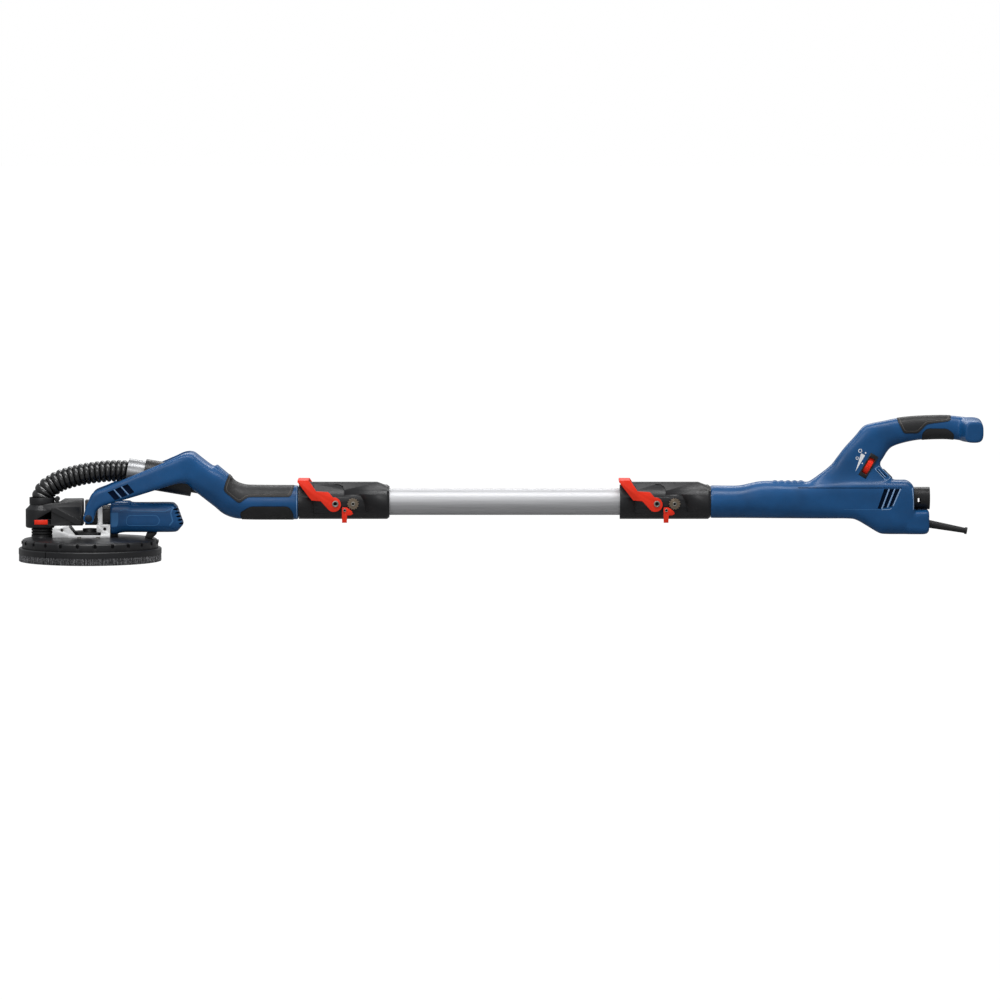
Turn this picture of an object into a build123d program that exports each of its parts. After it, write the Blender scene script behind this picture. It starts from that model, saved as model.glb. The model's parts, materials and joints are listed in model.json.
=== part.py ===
from build123d import *
from math import acos, atan2, cos, hypot, pi, radians, sin, tan
import os

# Pole drywall sander, in millimetres. The origin is the centre of the sanding face, +Z is up and the pole
# runs along +X to the rear handle. Every sub-part is one node, written to parts/NODE.step.

# Sanding head
disc_radius = 112.5
disc_thickness = 1.2
disc_overhang = 2.5
pad_radius = disc_radius - disc_overhang
pad_top = 11.0
skirt_gap = 5.5
bristle_width = 6.0
ring_lip = 1.0
ring_radius = disc_radius + skirt_gap + bristle_width + ring_lip
ring_top = 22.0
bristle_tip = -1.0
bristle_top = 11.5
holder_width = 5.5
holder_fit = 0.5
shroud_radius = ring_radius - holder_width - holder_fit
shroud_wall = 3.0
shroud_rim_low = 20.0
shroud_rim_top = 36.0
deck_top = 41.0
pivot_z = 76.0
outlet_x = -84.0

# Gears
gear_module = 1.5
pinion_teeth = 12
wheel_teeth = 36
gear_pressure = 25.0
gear_backlash = 0.3
addendum = 0.8 * gear_module
dedendum = 1.25 * gear_module
layshaft_x = gear_module * (pinion_teeth + wheel_teeth) / 2
bevel_radius = gear_module * pinion_teeth / 2
case_clear = 1.2
case_wall = 2.0
case_radius = gear_module * wheel_teeth / 2 + addendum + case_clear + case_wall

# Pole
pole_z = 102.0
tube_radius = 23.25
tube_wall = 1.75
slide_fit = 0.05
collar_radius = 30.2
collar_length = 158.4
collar_top = 34.6
front_collar_x = 365.6
rear_collar_x = 927.0
insertion = 100.0
stop_width = 4.0
lever_x = 64.5
lever_z = pole_z - 1.5
lever_gap = 0.8
lever_thickness = 4.0

# Neck
fork_inner = 34.0
fork_outer = 46.0
fork_boss = 9.6
sleeve_radius = 29.75
sleeve_z = pole_z - 1.0
sleeve_x = 250.0
grip_depth = 2.2
socket_slope = 9.5
socket_radius = 26.0
socket_x = (95.0, 180.0)
socket_axis = (105.0, 149.6)
cuff_x = 65.6
cuff_radius = 22.0
cuff_seat = 16.0

# Hose
hose_radius = 19.0
hose_wall = 3.0
hose_split_x = -12.0
elbow_radius = 22.0

# Rear housing
rear_x = rear_collar_x + collar_length
rear_sleeve_radius = 29.0
body_half_width = 30.0
handle_half_width = 17.5
bar_half_length = 45.0
housing_wall = 3.0
rear_face_x = 1439.6
rear_end_x = 1469.0
adapter_z = pole_z + 6.4
adapter_radius = 19.65
adapter_bore = 17.5
adapter_start_x = 1434.0
adapter_seat = 0.35
ledge_z = adapter_z - adapter_radius - adapter_seat
latch_x = (1447.5, 1452.5)
latch_z = (100.5, 109.5)
relief_slope = 10.4
relief_start = (1469.0, 63.0)
relief_length = 67.0
relief_radius, relief_tip = 7.0, 4.8
relief_seat = 6.0
bead_length, bead_radius = 4.0, 6.1
cord_bore = 3.6
wheel_centre = (1361.0, -3.5, 166.0)
wheel_radius = 17.0
wheel_width = 9.0
rocker_centre = (1395.4, 151.4)
rocker_size = (21.0, 13.0, 9.0)

clearance = 0.3
pin_fit = 0.05
pin_radius = 5.0
bolt_head_height = 2.5
bolt_head_rim = 1.0
spindle_radius = 5.0
screw_radius = 1.9
screw_head = 3.4
screw_end = 8.0
screw_boss = 2.0

UP = (Align.CENTER, Align.CENTER, Align.MIN)


def rod(start, end, radius, end_radius=None):
    """Round bar or cone between two points."""
    axis = Vector(*end) - Vector(*start)
    place = Plane(origin=start, z_dir=axis)
    if end_radius is None:
        return place * Cylinder(radius, axis.length, align=UP)
    return place * Cone(radius, end_radius, axis.length, align=UP)


def tube(start, end, radius, bore):
    return rod(start, end, radius) - rod(start, end, bore)


def upright(z_low, z_high, radius, x=0.0):
    return rod((x, 0, z_low), (x, 0, z_high), radius)


def block(x, y, z):
    """Box between two values on each axis."""
    size = [high - low for low, high in (x, y, z)]
    centre = [(high + low) / 2 for low, high in (x, y, z)]
    return Pos(*centre) * Box(*size)


def outline(points, inset=0.0):
    face = make_face(Polyline(*points, close=True))
    return offset(face, amount=-inset, kind=Kind.INTERSECTION) if inset else face


def slab(points, y_low, y_high, inset=0.0):
    """Side outline in (x, z) pulled across the tool from y_low to y_high."""
    return extrude(Plane.XZ.offset(-y_high) * outline(points, inset), y_high - y_low)


def prism(points, z_low, z_high):
    """Plan outline in (x, y) pulled up from z_low to z_high."""
    return extrude(Pos(0, 0, z_low) * outline(points), z_high - z_low)


def turned(points, x=0.0, y=0.0):
    """Side outline in (radius, z) turned about the upright line through (x, y)."""
    return Pos(x, y, 0) * revolve(Plane.XZ * outline(points), Axis.Z)


def both_sides(make):
    """The same piece on the +Y and the -Y side; make takes the side as 1 or -1."""
    return make(1) + make(-1)


def cross_rod(x, z, y_from, y_to, radius):
    low, high = sorted((y_from, y_to))
    return rod((x, low, z), (x, high, z), radius)


def cross_slab(points, y_from, y_to):
    low, high = sorted((y_from, y_to))
    return slab(points, low, high)


def moved(points, x, z):
    return [(x + px, z + pz) for px, pz in points]


def save(node, shape):
    solids = Compound(children=list(shape.solids()))
    export_step(solids, f"parts/{node}.step")


# ---------------------------------------------------------------- clamps

lever_outline = [
    (-66, 38), (-66, 41), (-46.6, 41), (-33.6, 21.8), (-12.3, 20.6), (-4, 11.2), (-2.9, -1.3), (-11.9, -10.2),
    (-25.5, 4.8), (-41.6, 6.2),
]
lever_eye = (-2.9, -1.3)
lever_eye_radius = 12.6
lever_bridge = 19.0
bridge_depth = 3.8
pawl_outline = [
    (11.4, -7.5), (12.6, -6.3), (20.3, -6.3), (28.4, -12.3), (31, -17.2), (26.6, -20), (20.5, -20.3), (20, -33),
    (11.6, -33),
]
pawl_dx, pawl_dz = 16.3, -11.0
star_dx = 30.8
star_teeth = 14
star_radius = 10.5
star_root = 8.7
lever_stud = 4.0
star_stud = 2.6
pawl_stud = 2.0
stud_root = 1.5
washer_share = 1.4
washer_height = 1.5
socket_share = 0.8
socket_depth = 1.0
plate_y = collar_radius + lever_gap
plate_end = plate_y + lever_thickness
rail_half = 9.0
rail_low = 26.0
rail_front = (7.0, 29.0)
rail_start = 13.0
rail_slope = 21.4
collar_chamfer = (4.0, 3.0)
mouth_slot = (58.0, 1.2)


def star_points():
    points = []
    for step in range(4 * star_teeth):
        reach = star_radius if step % 4 in (0, 1) else star_root
        turn = radians(360 / (4 * star_teeth) * (step - 0.5))
        points.append((reach * cos(turn), reach * sin(turn)))
    return points


def stud(x, z, side, radius):
    """Shouldered stud: its root sits in the collar wall and its socket head holds the moving piece."""
    head_y = side * (plate_end + clearance)
    end_y = head_y + side * washer_height
    post = cross_rod(x, z, side * (tube_radius + stud_root), head_y, radius)
    head = cross_rod(x, z, head_y, end_y, radius * washer_share)
    return post + head - cross_rod(x, z, end_y - side * socket_depth, end_y + side, radius * socket_share)


def rail_section():
    """Roof over the collar whose two slopes meet the round wall smoothly."""
    turn = atan2(collar_top, rail_half) - acos(collar_radius / hypot(rail_half, collar_top))
    foot_y, foot_z = collar_radius * cos(turn), collar_radius * sin(turn)
    half = [(0, 0), (foot_y, 0), (foot_y, foot_z), (rail_half, collar_top)]
    return [(y, pole_z + z) for y, z in half] + [(-y, pole_z + z) for y, z in reversed(half[1:])]


def clamp(name, x_left):
    """Collar with its over-centre lever, star wheel and pawl, from the clamping mouth at x_left."""
    x_right = x_left + collar_length
    pivot_x = x_left + lever_x
    star_x, pawl_x, pawl_z = pivot_x + star_dx, pivot_x + pawl_dx, lever_z + pawl_dz
    front_run, front_rise = rail_front
    rail = [
        (x_left, pole_z), (x_left, pole_z + front_rise - 1), (x_left + front_run, pole_z + front_rise),
        (x_left + rail_start, pole_z + collar_top), (x_right - rail_slope, pole_z + collar_top),
        (x_right, pole_z + rail_low), (x_right, pole_z),
    ]
    chamfer_run, chamfer_drop = collar_chamfer
    collar = rod((x_left, 0, pole_z), (x_right - chamfer_run, 0, pole_z), collar_radius)
    collar += rod((x_right - chamfer_run, 0, pole_z), (x_right, 0, pole_z), collar_radius,
                  collar_radius - chamfer_drop)
    roof = extrude(Plane.YZ.offset(x_left) * outline(rail_section()), collar_length)
    collar += roof & slab(rail, -collar_radius, collar_radius)
    bore = tube_radius + slide_fit
    collar -= rod((x_left - 1, 0, pole_z), (x_right + 1, 0, pole_z), bore)
    stop_x = x_left + insertion
    collar += tube((stop_x, 0, pole_z), (stop_x + stop_width, 0, pole_z), bore, tube_radius - tube_wall)
    slot_end, slot_half = mouth_slot
    below = pole_z - collar_radius - 1
    collar -= block((x_left - 1, x_left + slot_end), (-slot_half, slot_half), (below, pole_z - tube_radius + 1))

    studs = both_sides(lambda side: stud(pivot_x, lever_z, side, lever_stud))
    studs += stud(star_x, lever_z, -1, star_stud) + stud(pawl_x, pawl_z, -1, pawl_stud)
    collar -= studs

    shape = moved(lever_outline, pivot_x, lever_z)
    eye_x, eye_z = pivot_x + lever_eye[0], lever_z + lever_eye[1]
    lever = both_sides(lambda side: cross_slab(shape, side * plate_y, side * plate_end)
                       + cross_rod(eye_x, eye_z, side * plate_y, side * plate_end, lever_eye_radius))
    tip_x, tip_z = shape[1]
    lever += block((tip_x, tip_x + lever_bridge), (-plate_end, plate_end), (tip_z - bridge_depth, tip_z))
    lever -= cross_rod(pivot_x, lever_z, -plate_end - 1, plate_end + 1, lever_stud + pin_fit)

    star = slab(moved(star_points(), star_x, lever_z), -plate_end, -plate_y)
    star -= cross_rod(star_x, lever_z, -plate_end - 1, 1 - plate_y, star_stud + pin_fit)
    pawl = slab(moved(pawl_outline, pivot_x, lever_z), -plate_end, -plate_y)
    pawl -= cross_rod(pawl_x, pawl_z, -plate_end - 1, 1 - plate_y, pawl_stud + pin_fit)
    save(f"{name}_clamp_collar", collar)
    save(f"{name}_clamp_studs", studs)
    save(f"{name}_clamp_lever", lever)
    save(f"{name}_star_wheel", star)
    save(f"{name}_pawl", pawl)


def pole_tube(x_low, x_high):
    return tube((x_low, 0, pole_z), (x_high, 0, pole_z), tube_radius, tube_radius - tube_wall)


# ---------------------------------------------------------------- neck

neck_top = [
    (-9.6, 76), (-6.8, 84), (-1.2, 105.5), (7.2, 120.8), (121.5, 169.8), (166.3, 189.2), (180, 190),
    (194, 180.8), (213.7, 165.6), (221.9, 167), (247, 146), (255.5, 137.6), (262, 133),
]
neck_bottom = [
    (262, 71.4), (247.1, 74.7), (233.1, 81.7), (185.7, 119.5), (178.7, 125), (168.9, 134.8), (149.5, 133.4),
    (111.8, 122.2), (65.8, 108.3), (26.6, 97.1), (15.6, 88.7), (9.6, 76),
]
neck_outline = neck_top + neck_bottom
fork_slot_end = 176.0
neck_waist = 37.0
far = 320.0


def neck_shape(inset):
    """The whole outer form of neck and fork, with every face moved in by the inset."""
    outer = fork_outer - inset
    sleeve = sleeve_radius - inset
    near_half = [(-20, outer), (140, outer), (200, neck_waist - inset), (sleeve_x, sleeve), (270, sleeve)]
    plan = near_half + [(x, -y) for x, y in reversed(near_half)]
    body = slab(neck_outline, -outer, outer, inset) & prism(plan, 0, far)
    body += cross_rod(0, pivot_z, -outer, outer, fork_boss - inset)
    return body + rod((sleeve_x - 8, 0, sleeve_z), (front_collar_x - 0.4, 0, sleeve_z), sleeve)


def socket_point(x):
    """Point of the hose socket's sloping axis at x."""
    return (x, 0, socket_axis[1] - (x - socket_axis[0]) * tan(radians(socket_slope)))


upper_grip_outline = [
    (250, 160), (360, 160), (358, 131), (352, 112.5), (277, 112.5), (262, 101), (235, 123.5), (238, 134),
]
lower_grip_outline = [(269, 60), (262, 84), (282, 95.4), (348, 95.4), (356, 84), (356, 60)]
groove_xs = (38.0, 53.0, 68.0)
groove_rise = 0.43
groove_depth = 2.0
duct_radius, duct_wall = 19.0, 1.5
cavity_half = 25.0
spigot_x = 300.0


def neck():
    outer = neck_shape(0.0)
    core = neck_shape(grip_depth)
    upper_grip = (outer - core) & slab(upper_grip_outline, -40, 40)
    lower_grip = (outer - core) & slab(lower_grip_outline, -40, 40)

    slot_turn_x = fork_slot_end - fork_inner
    plan_slot = block((-far, slot_turn_x), (-fork_inner, fork_inner), (0, far))
    plan_slot += Pos(slot_turn_x, 0, 0) * Cylinder(fork_inner, far, align=UP)
    socket_body = rod(socket_point(socket_x[0]), socket_point(socket_x[1]), socket_radius)
    duct_start, duct_low = socket_point(socket_x[1] - 6), (spigot_x, 0, pole_z)
    line = Spline(
        duct_start, (205, 0, 131), (240, 0, 110), (275, 0, pole_z), duct_low,
        tangents=[heading(-socket_slope), heading(0)],
    )
    section = Plane(origin=line @ 0, z_dir=line % 0)
    duct_solid = sweep(section * Circle(duct_radius), path=line)
    duct = duct_solid - sweep(section * Circle(duct_radius - duct_wall), path=line)

    cavity = slab(neck_outline, -cavity_half, cavity_half, 4.0)
    cavity &= block((fork_slot_end + 6, sleeve_x + 8), (-cavity_half, cavity_half), (0, far))
    cavity += rod((sleeve_x + 6, 0, sleeve_z), (spigot_x + 2, 0, sleeve_z), cavity_half)
    spigot_room = rod((spigot_x, 0, pole_z), (front_collar_x, 0, pole_z), tube_radius)
    pins = both_sides(fork_pin)
    screws, bosses = side_screws(((190, 173, 33), (224, 148, 29)))
    shell = outer - upper_grip - lower_grip - plan_slot - cavity - spigot_room - pins
    shell = shell + (bosses & core) - screws - socket_body - duct_solid
    for x in groove_xs:
        z = 112 + (x - groove_xs[0]) * groove_rise
        groove = [(x - 5, z + 9), (x, z + 11), (x + 12, z - 1), (x + 7, z - 2)]
        shell -= both_sides(lambda side: cross_slab(groove, side * (fork_outer - groove_depth), side * far))

    seat = socket_point(socket_x[0] + cuff_seat)
    socket_bore = rod(socket_point(socket_x[0]), seat, cuff_radius)
    socket_bore += rod(seat, socket_point(socket_x[1]), duct_radius)
    cuff = tube(socket_point(cuff_x), socket_point(socket_x[0] + cuff_seat - 2), cuff_radius, hose_radius + 0.5)

    save("neck_housing_left", shell & block((-far, 400), (0, far), (0, far)))
    save("neck_housing_right", shell & block((-far, 400), (-far, 0), (0, far)))
    save("neck_grips", upper_grip + lower_grip)
    save("neck_dust_duct", duct)
    save("neck_spigot", pole_tube(spigot_x, front_collar_x + insertion - clearance))
    save("hose_duct_socket", socket_body - socket_bore)
    save("hose_cuff", cuff)
    save("fork_pivot_pins", pins)
    save("neck_screws", screws)


def fork_pin(side):
    """Pivot bolt through one fork arm into the gimbal."""
    tip_y = fork_inner - pin_depth + end_play
    shank = cross_rod(0, pivot_z, side * tip_y, side * fork_outer, pin_radius)
    head_y = fork_outer + bolt_head_height
    return shank + cross_rod(0, pivot_z, side * fork_outer, side * head_y, pin_radius + bolt_head_rim)


def side_screws(places):
    """Screws in from the +Y side, each (x, z, half width there), with the bosses that they run in."""
    screws, bosses = Part(), Part()
    for x, z, half_width in places:
        screws += cross_rod(x, z, half_width - 2, screw_end - half_width, screw_radius)
        screws += cross_rod(x, z, half_width - 0.5, half_width - 3.5, screw_head)
        bosses += cross_rod(x, z, half_width - 1, 1 - half_width, screw_head + screw_boss)
    return screws, bosses


# ---------------------------------------------------------------- dust hose

hose_start = (outlet_x, 0, 98)
hose_bend_z = 103.0
hose_bend_radius = 30.0
hose_bend_angle = 62.0
hose_middle = (hose_split_x, 0, 150.2)


def bend_point(angle):
    """Point of the hose's tight bend above the drum, by the angle turned so far."""
    turn = radians(angle)
    return (outlet_x + hose_bend_radius * (1 - cos(turn)), 0, hose_bend_z + hose_bend_radius * sin(turn))


def heading(angle):
    """Unit vector in the XZ plane at an angle above +X."""
    return Vector(cos(radians(angle)), 0, sin(radians(angle)))


def hose():
    """The corrugated hose as two runs that meet above the gimbal."""
    cuff_end = socket_point(cuff_x + 9)
    climb, level, fall = heading(90 - hose_bend_angle), heading(12), heading(-socket_slope)
    bend = Wire([
        Line(hose_start, bend_point(0)).edge(),
        ThreePointArc(bend_point(0), bend_point(hose_bend_angle / 2), bend_point(hose_bend_angle)).edge(),
        Spline(bend_point(hose_bend_angle), (-49, 0, 140), hose_middle, tangents=[climb, level]).edge(),
    ])
    run = Spline(hose_middle, (29.8, 0, 155.6), cuff_end, tangents=[level, fall])
    for node, path in (("hose_bend", bend), ("hose_run", run)):
        section = Plane(origin=path @ 0, z_dir=path % 0)
        wall = sweep(section * Circle(hose_radius), path=path)
        save(node, wall - sweep(section * Circle(hose_radius - hose_wall), path=path))


# ---------------------------------------------------------------- gimbal

gimbal_x = (-8.0, 12.9)
gimbal_half = 14.0
gimbal_z = (62.0, 105.0)
gimbal_arm = 9.0
end_play = 0.5
pin_depth = 17.5
roll_pin_gap = 1.9


def gimbal():
    body = block(gimbal_x, (-gimbal_half, gimbal_half), gimbal_z)
    body += cross_rod(0, pivot_z, end_play - fork_inner, fork_inner - end_play, gimbal_arm)
    body -= both_sides(lambda side: cross_rod(
        0, pivot_z, side * fork_inner, side * (fork_inner - pin_depth), pin_radius + pin_fit))
    body -= rod((gimbal_x[0] - 1, 0, pivot_z), (-roll_pin_gap, 0, pivot_z), pin_radius + pin_fit)
    body -= rod((gimbal_x[1] + 1, 0, pivot_z), (roll_pin_gap, 0, pivot_z), pin_radius + pin_fit)
    save("gimbal_block", body)


# ---------------------------------------------------------------- gears

def gear_points(teeth, phase=0.0):
    """Involute teeth, each flank moved back by half of the backlash; phase is the first tooth's angle."""
    pitch = gear_module * teeth / 2
    base = pitch * cos(radians(gear_pressure))
    root, tip = pitch - dedendum, pitch + addendum

    def half_angle(radius):
        slope = acos(min(1.0, base / max(radius, base)))
        at_pitch = tan(radians(gear_pressure)) - radians(gear_pressure)
        return pi / (2 * teeth) - gear_backlash / (2 * pitch) + at_pitch - (tan(slope) - slope)

    radii = [root, max(base, root + 0.2), pitch, (pitch + tip) / 2, tip]
    points = []
    for tooth in range(teeth):
        centre = radians(phase) + 2 * pi * tooth / teeth
        flank = [(radius, half_angle(radius)) for radius in radii]
        points += [(r * cos(centre - a), r * sin(centre - a)) for r, a in flank]
        points += [(r * cos(centre + a), r * sin(centre + a)) for r, a in reversed(flank)]
    return points


bevel_depth = 4.0


def bevel_gear(phase):
    """Mitre gear about Z: its big end at -bevel_radius, its apex at the origin."""
    big = outline(gear_points(pinion_teeth, phase))
    shrink = (bevel_radius - bevel_depth) / bevel_radius
    small = scale(big, shrink)
    return loft([Pos(0, 0, -bevel_radius) * big, Pos(0, 0, -bevel_radius + bevel_depth) * small], ruled=True)


shaft_radius = 3.5
bearing_fit = 0.03
wheel_low, wheel_high = 43.4, 48.4
face_clear = 0.8
case_floor, case_top, boss_top = 41.0, 50.2, 55.2
wheel_bearing, lay_bearing, motor_bearing = 11.0, 9.0, 11.0
lower_bearing_z = (35.5, 41.0)
upper_bearing_z = (49.6, 54.6)
lay_bearing_z = (54.0, 59.0)
tower_top = 64.0


def gear_train():
    """Layshaft from the motor's mitre gear down to the spur pinion, and the spindle that it drives."""
    half_tooth = 180 / pinion_teeth
    lay_bevel = Pos(layshaft_x, 0, pivot_z) * bevel_gear(half_tooth)
    pinion = outline(gear_points(pinion_teeth, half_tooth))
    lay_pinion = Pos(layshaft_x, 0, wheel_low) * extrude(pinion, wheel_high - wheel_low)
    layshaft = rod((layshaft_x, 0, wheel_low - 0.2), (layshaft_x, 0, pivot_z - bevel_radius + 1), shaft_radius)
    save("layshaft", layshaft + lay_pinion + lay_bevel)

    wheel = Pos(0, 0, wheel_low) * extrude(outline(gear_points(wheel_teeth)), wheel_high - wheel_low)
    save("spindle_gear", wheel - rod((0, 0, wheel_low - 1), (0, 0, wheel_high + 1), spindle_radius))


def gear_case():
    """Flat case round both spur gears, with the bearings of the spindle and the layshaft in their bosses."""
    wheel_room = case_radius - case_wall
    pinion_room = gear_module * pinion_teeth / 2 + addendum + case_clear
    lay = (layshaft_x, 0)

    def well(centre, radius, z_low, z_high):
        return rod((*centre, z_low), (*centre, z_high), radius)

    case = well((0, 0), case_radius, case_floor, case_top)
    case += well(lay, pinion_room + case_wall, case_floor, case_top)
    case += well((0, 0), wheel_bearing + case_wall, lower_bearing_z[0], case_floor)
    case += well((0, 0), wheel_bearing + case_wall, case_top, boss_top)
    case += well(lay, lay_bearing + case_wall, case_top, tower_top)
    case -= well((0, 0), wheel_room, wheel_low - face_clear, wheel_high + face_clear)
    case -= well(lay, pinion_room, wheel_low - face_clear, wheel_high + face_clear)
    case -= well((0, 0), wheel_bearing, lower_bearing_z[0] - 1, lower_bearing_z[1])
    case -= well((0, 0), spindle_radius + 1, 30, boss_top - 0.4)
    case -= well((0, 0), wheel_bearing, *upper_bearing_z)
    case -= well(lay, lay_bearing, *lay_bearing_z)
    case -= well(lay, shaft_radius + 1, wheel_high, tower_top + 2)

    def bearing(centre, outer, bore, z_range):
        return well(centre, outer, *z_range) - well(centre, bore + bearing_fit, *z_range)

    bearings = bearing((0, 0), wheel_bearing, spindle_radius, lower_bearing_z)
    bearings += bearing((0, 0), wheel_bearing, spindle_radius, upper_bearing_z)
    bearings += bearing(lay, lay_bearing, shaft_radius, lay_bearing_z)
    return case, bearings


# ---------------------------------------------------------------- spindle and pad

hub_radius = 16.0
hub_top = 15.0
hole_ring = 70.0
hole_radius = 5.0
hole_count = 8
screw_head_radius = 9.0
pad_recess = 12.0
pad_rim_top = 7.0
pad_slope = 8.0
thread_radius = 3.0
thread_end = 32.0
flange_top = 22.0
head_top = 5.0
key_radius, key_depth = 3.5, 2.5


def pad_holes():
    holes = Part()
    for step in range(hole_count):
        turn = radians(step * 360 / hole_count)
        place = (hole_ring * cos(turn), hole_ring * sin(turn))
        holes += rod((*place, -1), (*place, pad_top + 1), hole_radius)
    return holes


def spindle():
    holes = pad_holes()
    pad = turned([(0, disc_thickness), (pad_radius, disc_thickness), (pad_radius, pad_rim_top),
                  (pad_radius - pad_slope, pad_top), (hub_radius, pad_top), (hub_radius, hub_top),
                  (0, hub_top)])
    pad -= holes + upright(0, head_top, pad_recess) + upright(head_top - 1, hub_top + 1, thread_radius)
    shaft = upright(hub_top, upper_bearing_z[1], spindle_radius)
    shaft += upright(hub_top, flange_top, hub_radius - 4)
    shaft -= upright(hub_top - 1, thread_end + 2, thread_radius)
    disc = upright(0, disc_thickness, disc_radius) - holes - upright(-1, disc_thickness + 1, pad_recess)
    screw = upright(1, head_top, screw_head_radius) + upright(head_top, thread_end, thread_radius)
    screw -= Pos(0, 0, 1) * extrude(RegularPolygon(key_radius, 6), key_depth)
    save("backing_pad", pad)
    save("spindle", shaft)
    save("sanding_disc", disc)
    save("pad_screw", screw)


# ---------------------------------------------------------------- shroud and brush skirt

deck_run = 70.0
outlet_radius = 14.0
bellows_radius = 18.7
bellows_z = (42.0, 57.0)
bellows_ribs = 3
bellows_wall, bellows_fold = 3.0, 2.2
holder_inner = shroud_radius + holder_fit
lug_angles = (30.0, 100.0, -100.0, -30.0)
lug_top = 16.0
lug_low = bristle_top + 1.0
lug_width = 12.0
spring_ring = shroud_radius - 7.0
spring_radius = 3.0
seam_half_angle = 55.0
seam_gap = 0.4
ring_chamfer = 1.5
notch_count = 24
notch_depth, notch_radius = 7.0, 2.6
deck_screw_ring = 48.0
spring_wire = 0.6
spring_pitch = 4.2
spring_play = 0.4


def around(radius, angle):
    return (radius * cos(radians(angle)), radius * sin(radians(angle)))


def shroud():
    wall = shroud_wall
    bore = wheel_bearing + case_wall + clearance
    body = turned([
        (bore, deck_top - wall), (bore, deck_top), (deck_run, deck_top),
        (shroud_radius - 3, shroud_rim_top + 1), (shroud_radius, shroud_rim_top - 2),
        (shroud_radius, shroud_rim_low), (shroud_radius - wall, shroud_rim_low),
        (shroud_radius - wall, shroud_rim_top - wall), (deck_run, deck_top - wall),
    ])
    body += upright(deck_top - wall - 1, bellows_z[0], bellows_radius, outlet_x)
    body -= upright(0, far, outlet_radius, outlet_x)
    for step in range(notch_count):
        place = around(shroud_radius, (step + 0.5) * 360 / notch_count)
        body -= rod((*place, shroud_rim_top - notch_depth), (*place, shroud_rim_top + notch_depth),
                    notch_radius)
    screws = Part()
    for angle in (70, 110, 250, 290):
        place = around(deck_screw_ring, angle)
        screws += rod((*place, deck_top - 6), (*place, deck_top), screw_radius)
        screws += rod((*place, deck_top), (*place, deck_top + 2.5), screw_head)
    save("shroud", body - screws)
    save("head_screws", screws + bracket_screw_places())


def spring(place, low, high):
    """Small coil spring standing at a plan point between two heights."""
    height = high - low - 2 * spring_wire - spring_play
    coil = Helix(pitch=spring_pitch, height=height, radius=spring_radius)
    section = Plane(origin=coil @ 0, z_dir=coil % 0) * Circle(spring_wire)
    return Pos(*place, low + spring_wire + spring_play / 2) * sweep(section, path=coil)


def wedge(half_angle, z_low, z_high):
    """Plan sector about -X, pulled up through the whole ring."""
    turns = (-half_angle, -half_angle / 2, 0, half_angle / 2, half_angle)
    return prism([(0, 0)] + [around(far, 180 + turn) for turn in turns], z_low, z_high)


def brush_skirt():
    front = wedge(seam_half_angle, -10, 40)
    holder = turned([(holder_inner, bristle_top), (ring_radius, bristle_top),
                     (ring_radius, ring_top - ring_chamfer),
                     (ring_radius - ring_chamfer, ring_top), (holder_inner, ring_top)])
    bristle_outer = ring_radius - ring_lip
    bristle_inner = bristle_outer - bristle_width
    bristles = turned([(bristle_inner, bristle_tip), (bristle_outer, bristle_tip),
                       (bristle_outer, bristle_top), (bristle_inner, bristle_top)])
    seam = Part()
    for side in (1, -1):
        turn = 180 + side * seam_half_angle
        seam += Rot(0, 0, turn) * block(
            (bristle_inner - 20, ring_radius + 20), (-seam_gap / 2, seam_gap / 2),
            (bristle_tip - 5, ring_top + 5))
    fixed_holder, front_holder = holder - front - seam, (holder & front) - seam
    springs = Part()
    for angle in lug_angles:
        lug = block((spring_ring - spring_radius - 2, holder_inner + 1), (-lug_width / 2, lug_width / 2),
                    (lug_low, lug_top))
        fixed_holder += Rot(0, 0, angle) * lug
        springs += spring(around(spring_ring, angle), lug_top, shroud_rim_top - shroud_wall)
    save("brush_ring", fixed_holder + (bristles - front - seam))
    save("brush_segment", front_holder + ((bristles & front) - seam))
    save("ring_springs", springs)


# ---------------------------------------------------------------- suction housing

drum_radius = 28.7
drum_z = (57.0, 95.0)
drum_wall = 3.0
slider_angle = 22.0
window_x = (-92.0, -66.0)
window_z = (73.0, 88.0)
slider_z = (64.0, 72.0)
slider_thickness = 2.5
slider_room = 0.5
box_half, box_shoulder = 27.0, 20.0
elbow_seat, elbow_top = 98.0, 110.0
elbow_wall = 1.8
clip_x, clip_z, clip_radius, clip_half = -57.4, 107.0, 4.4, 10.0
roll_pin_ends = (-28.0, 22.9)


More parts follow.
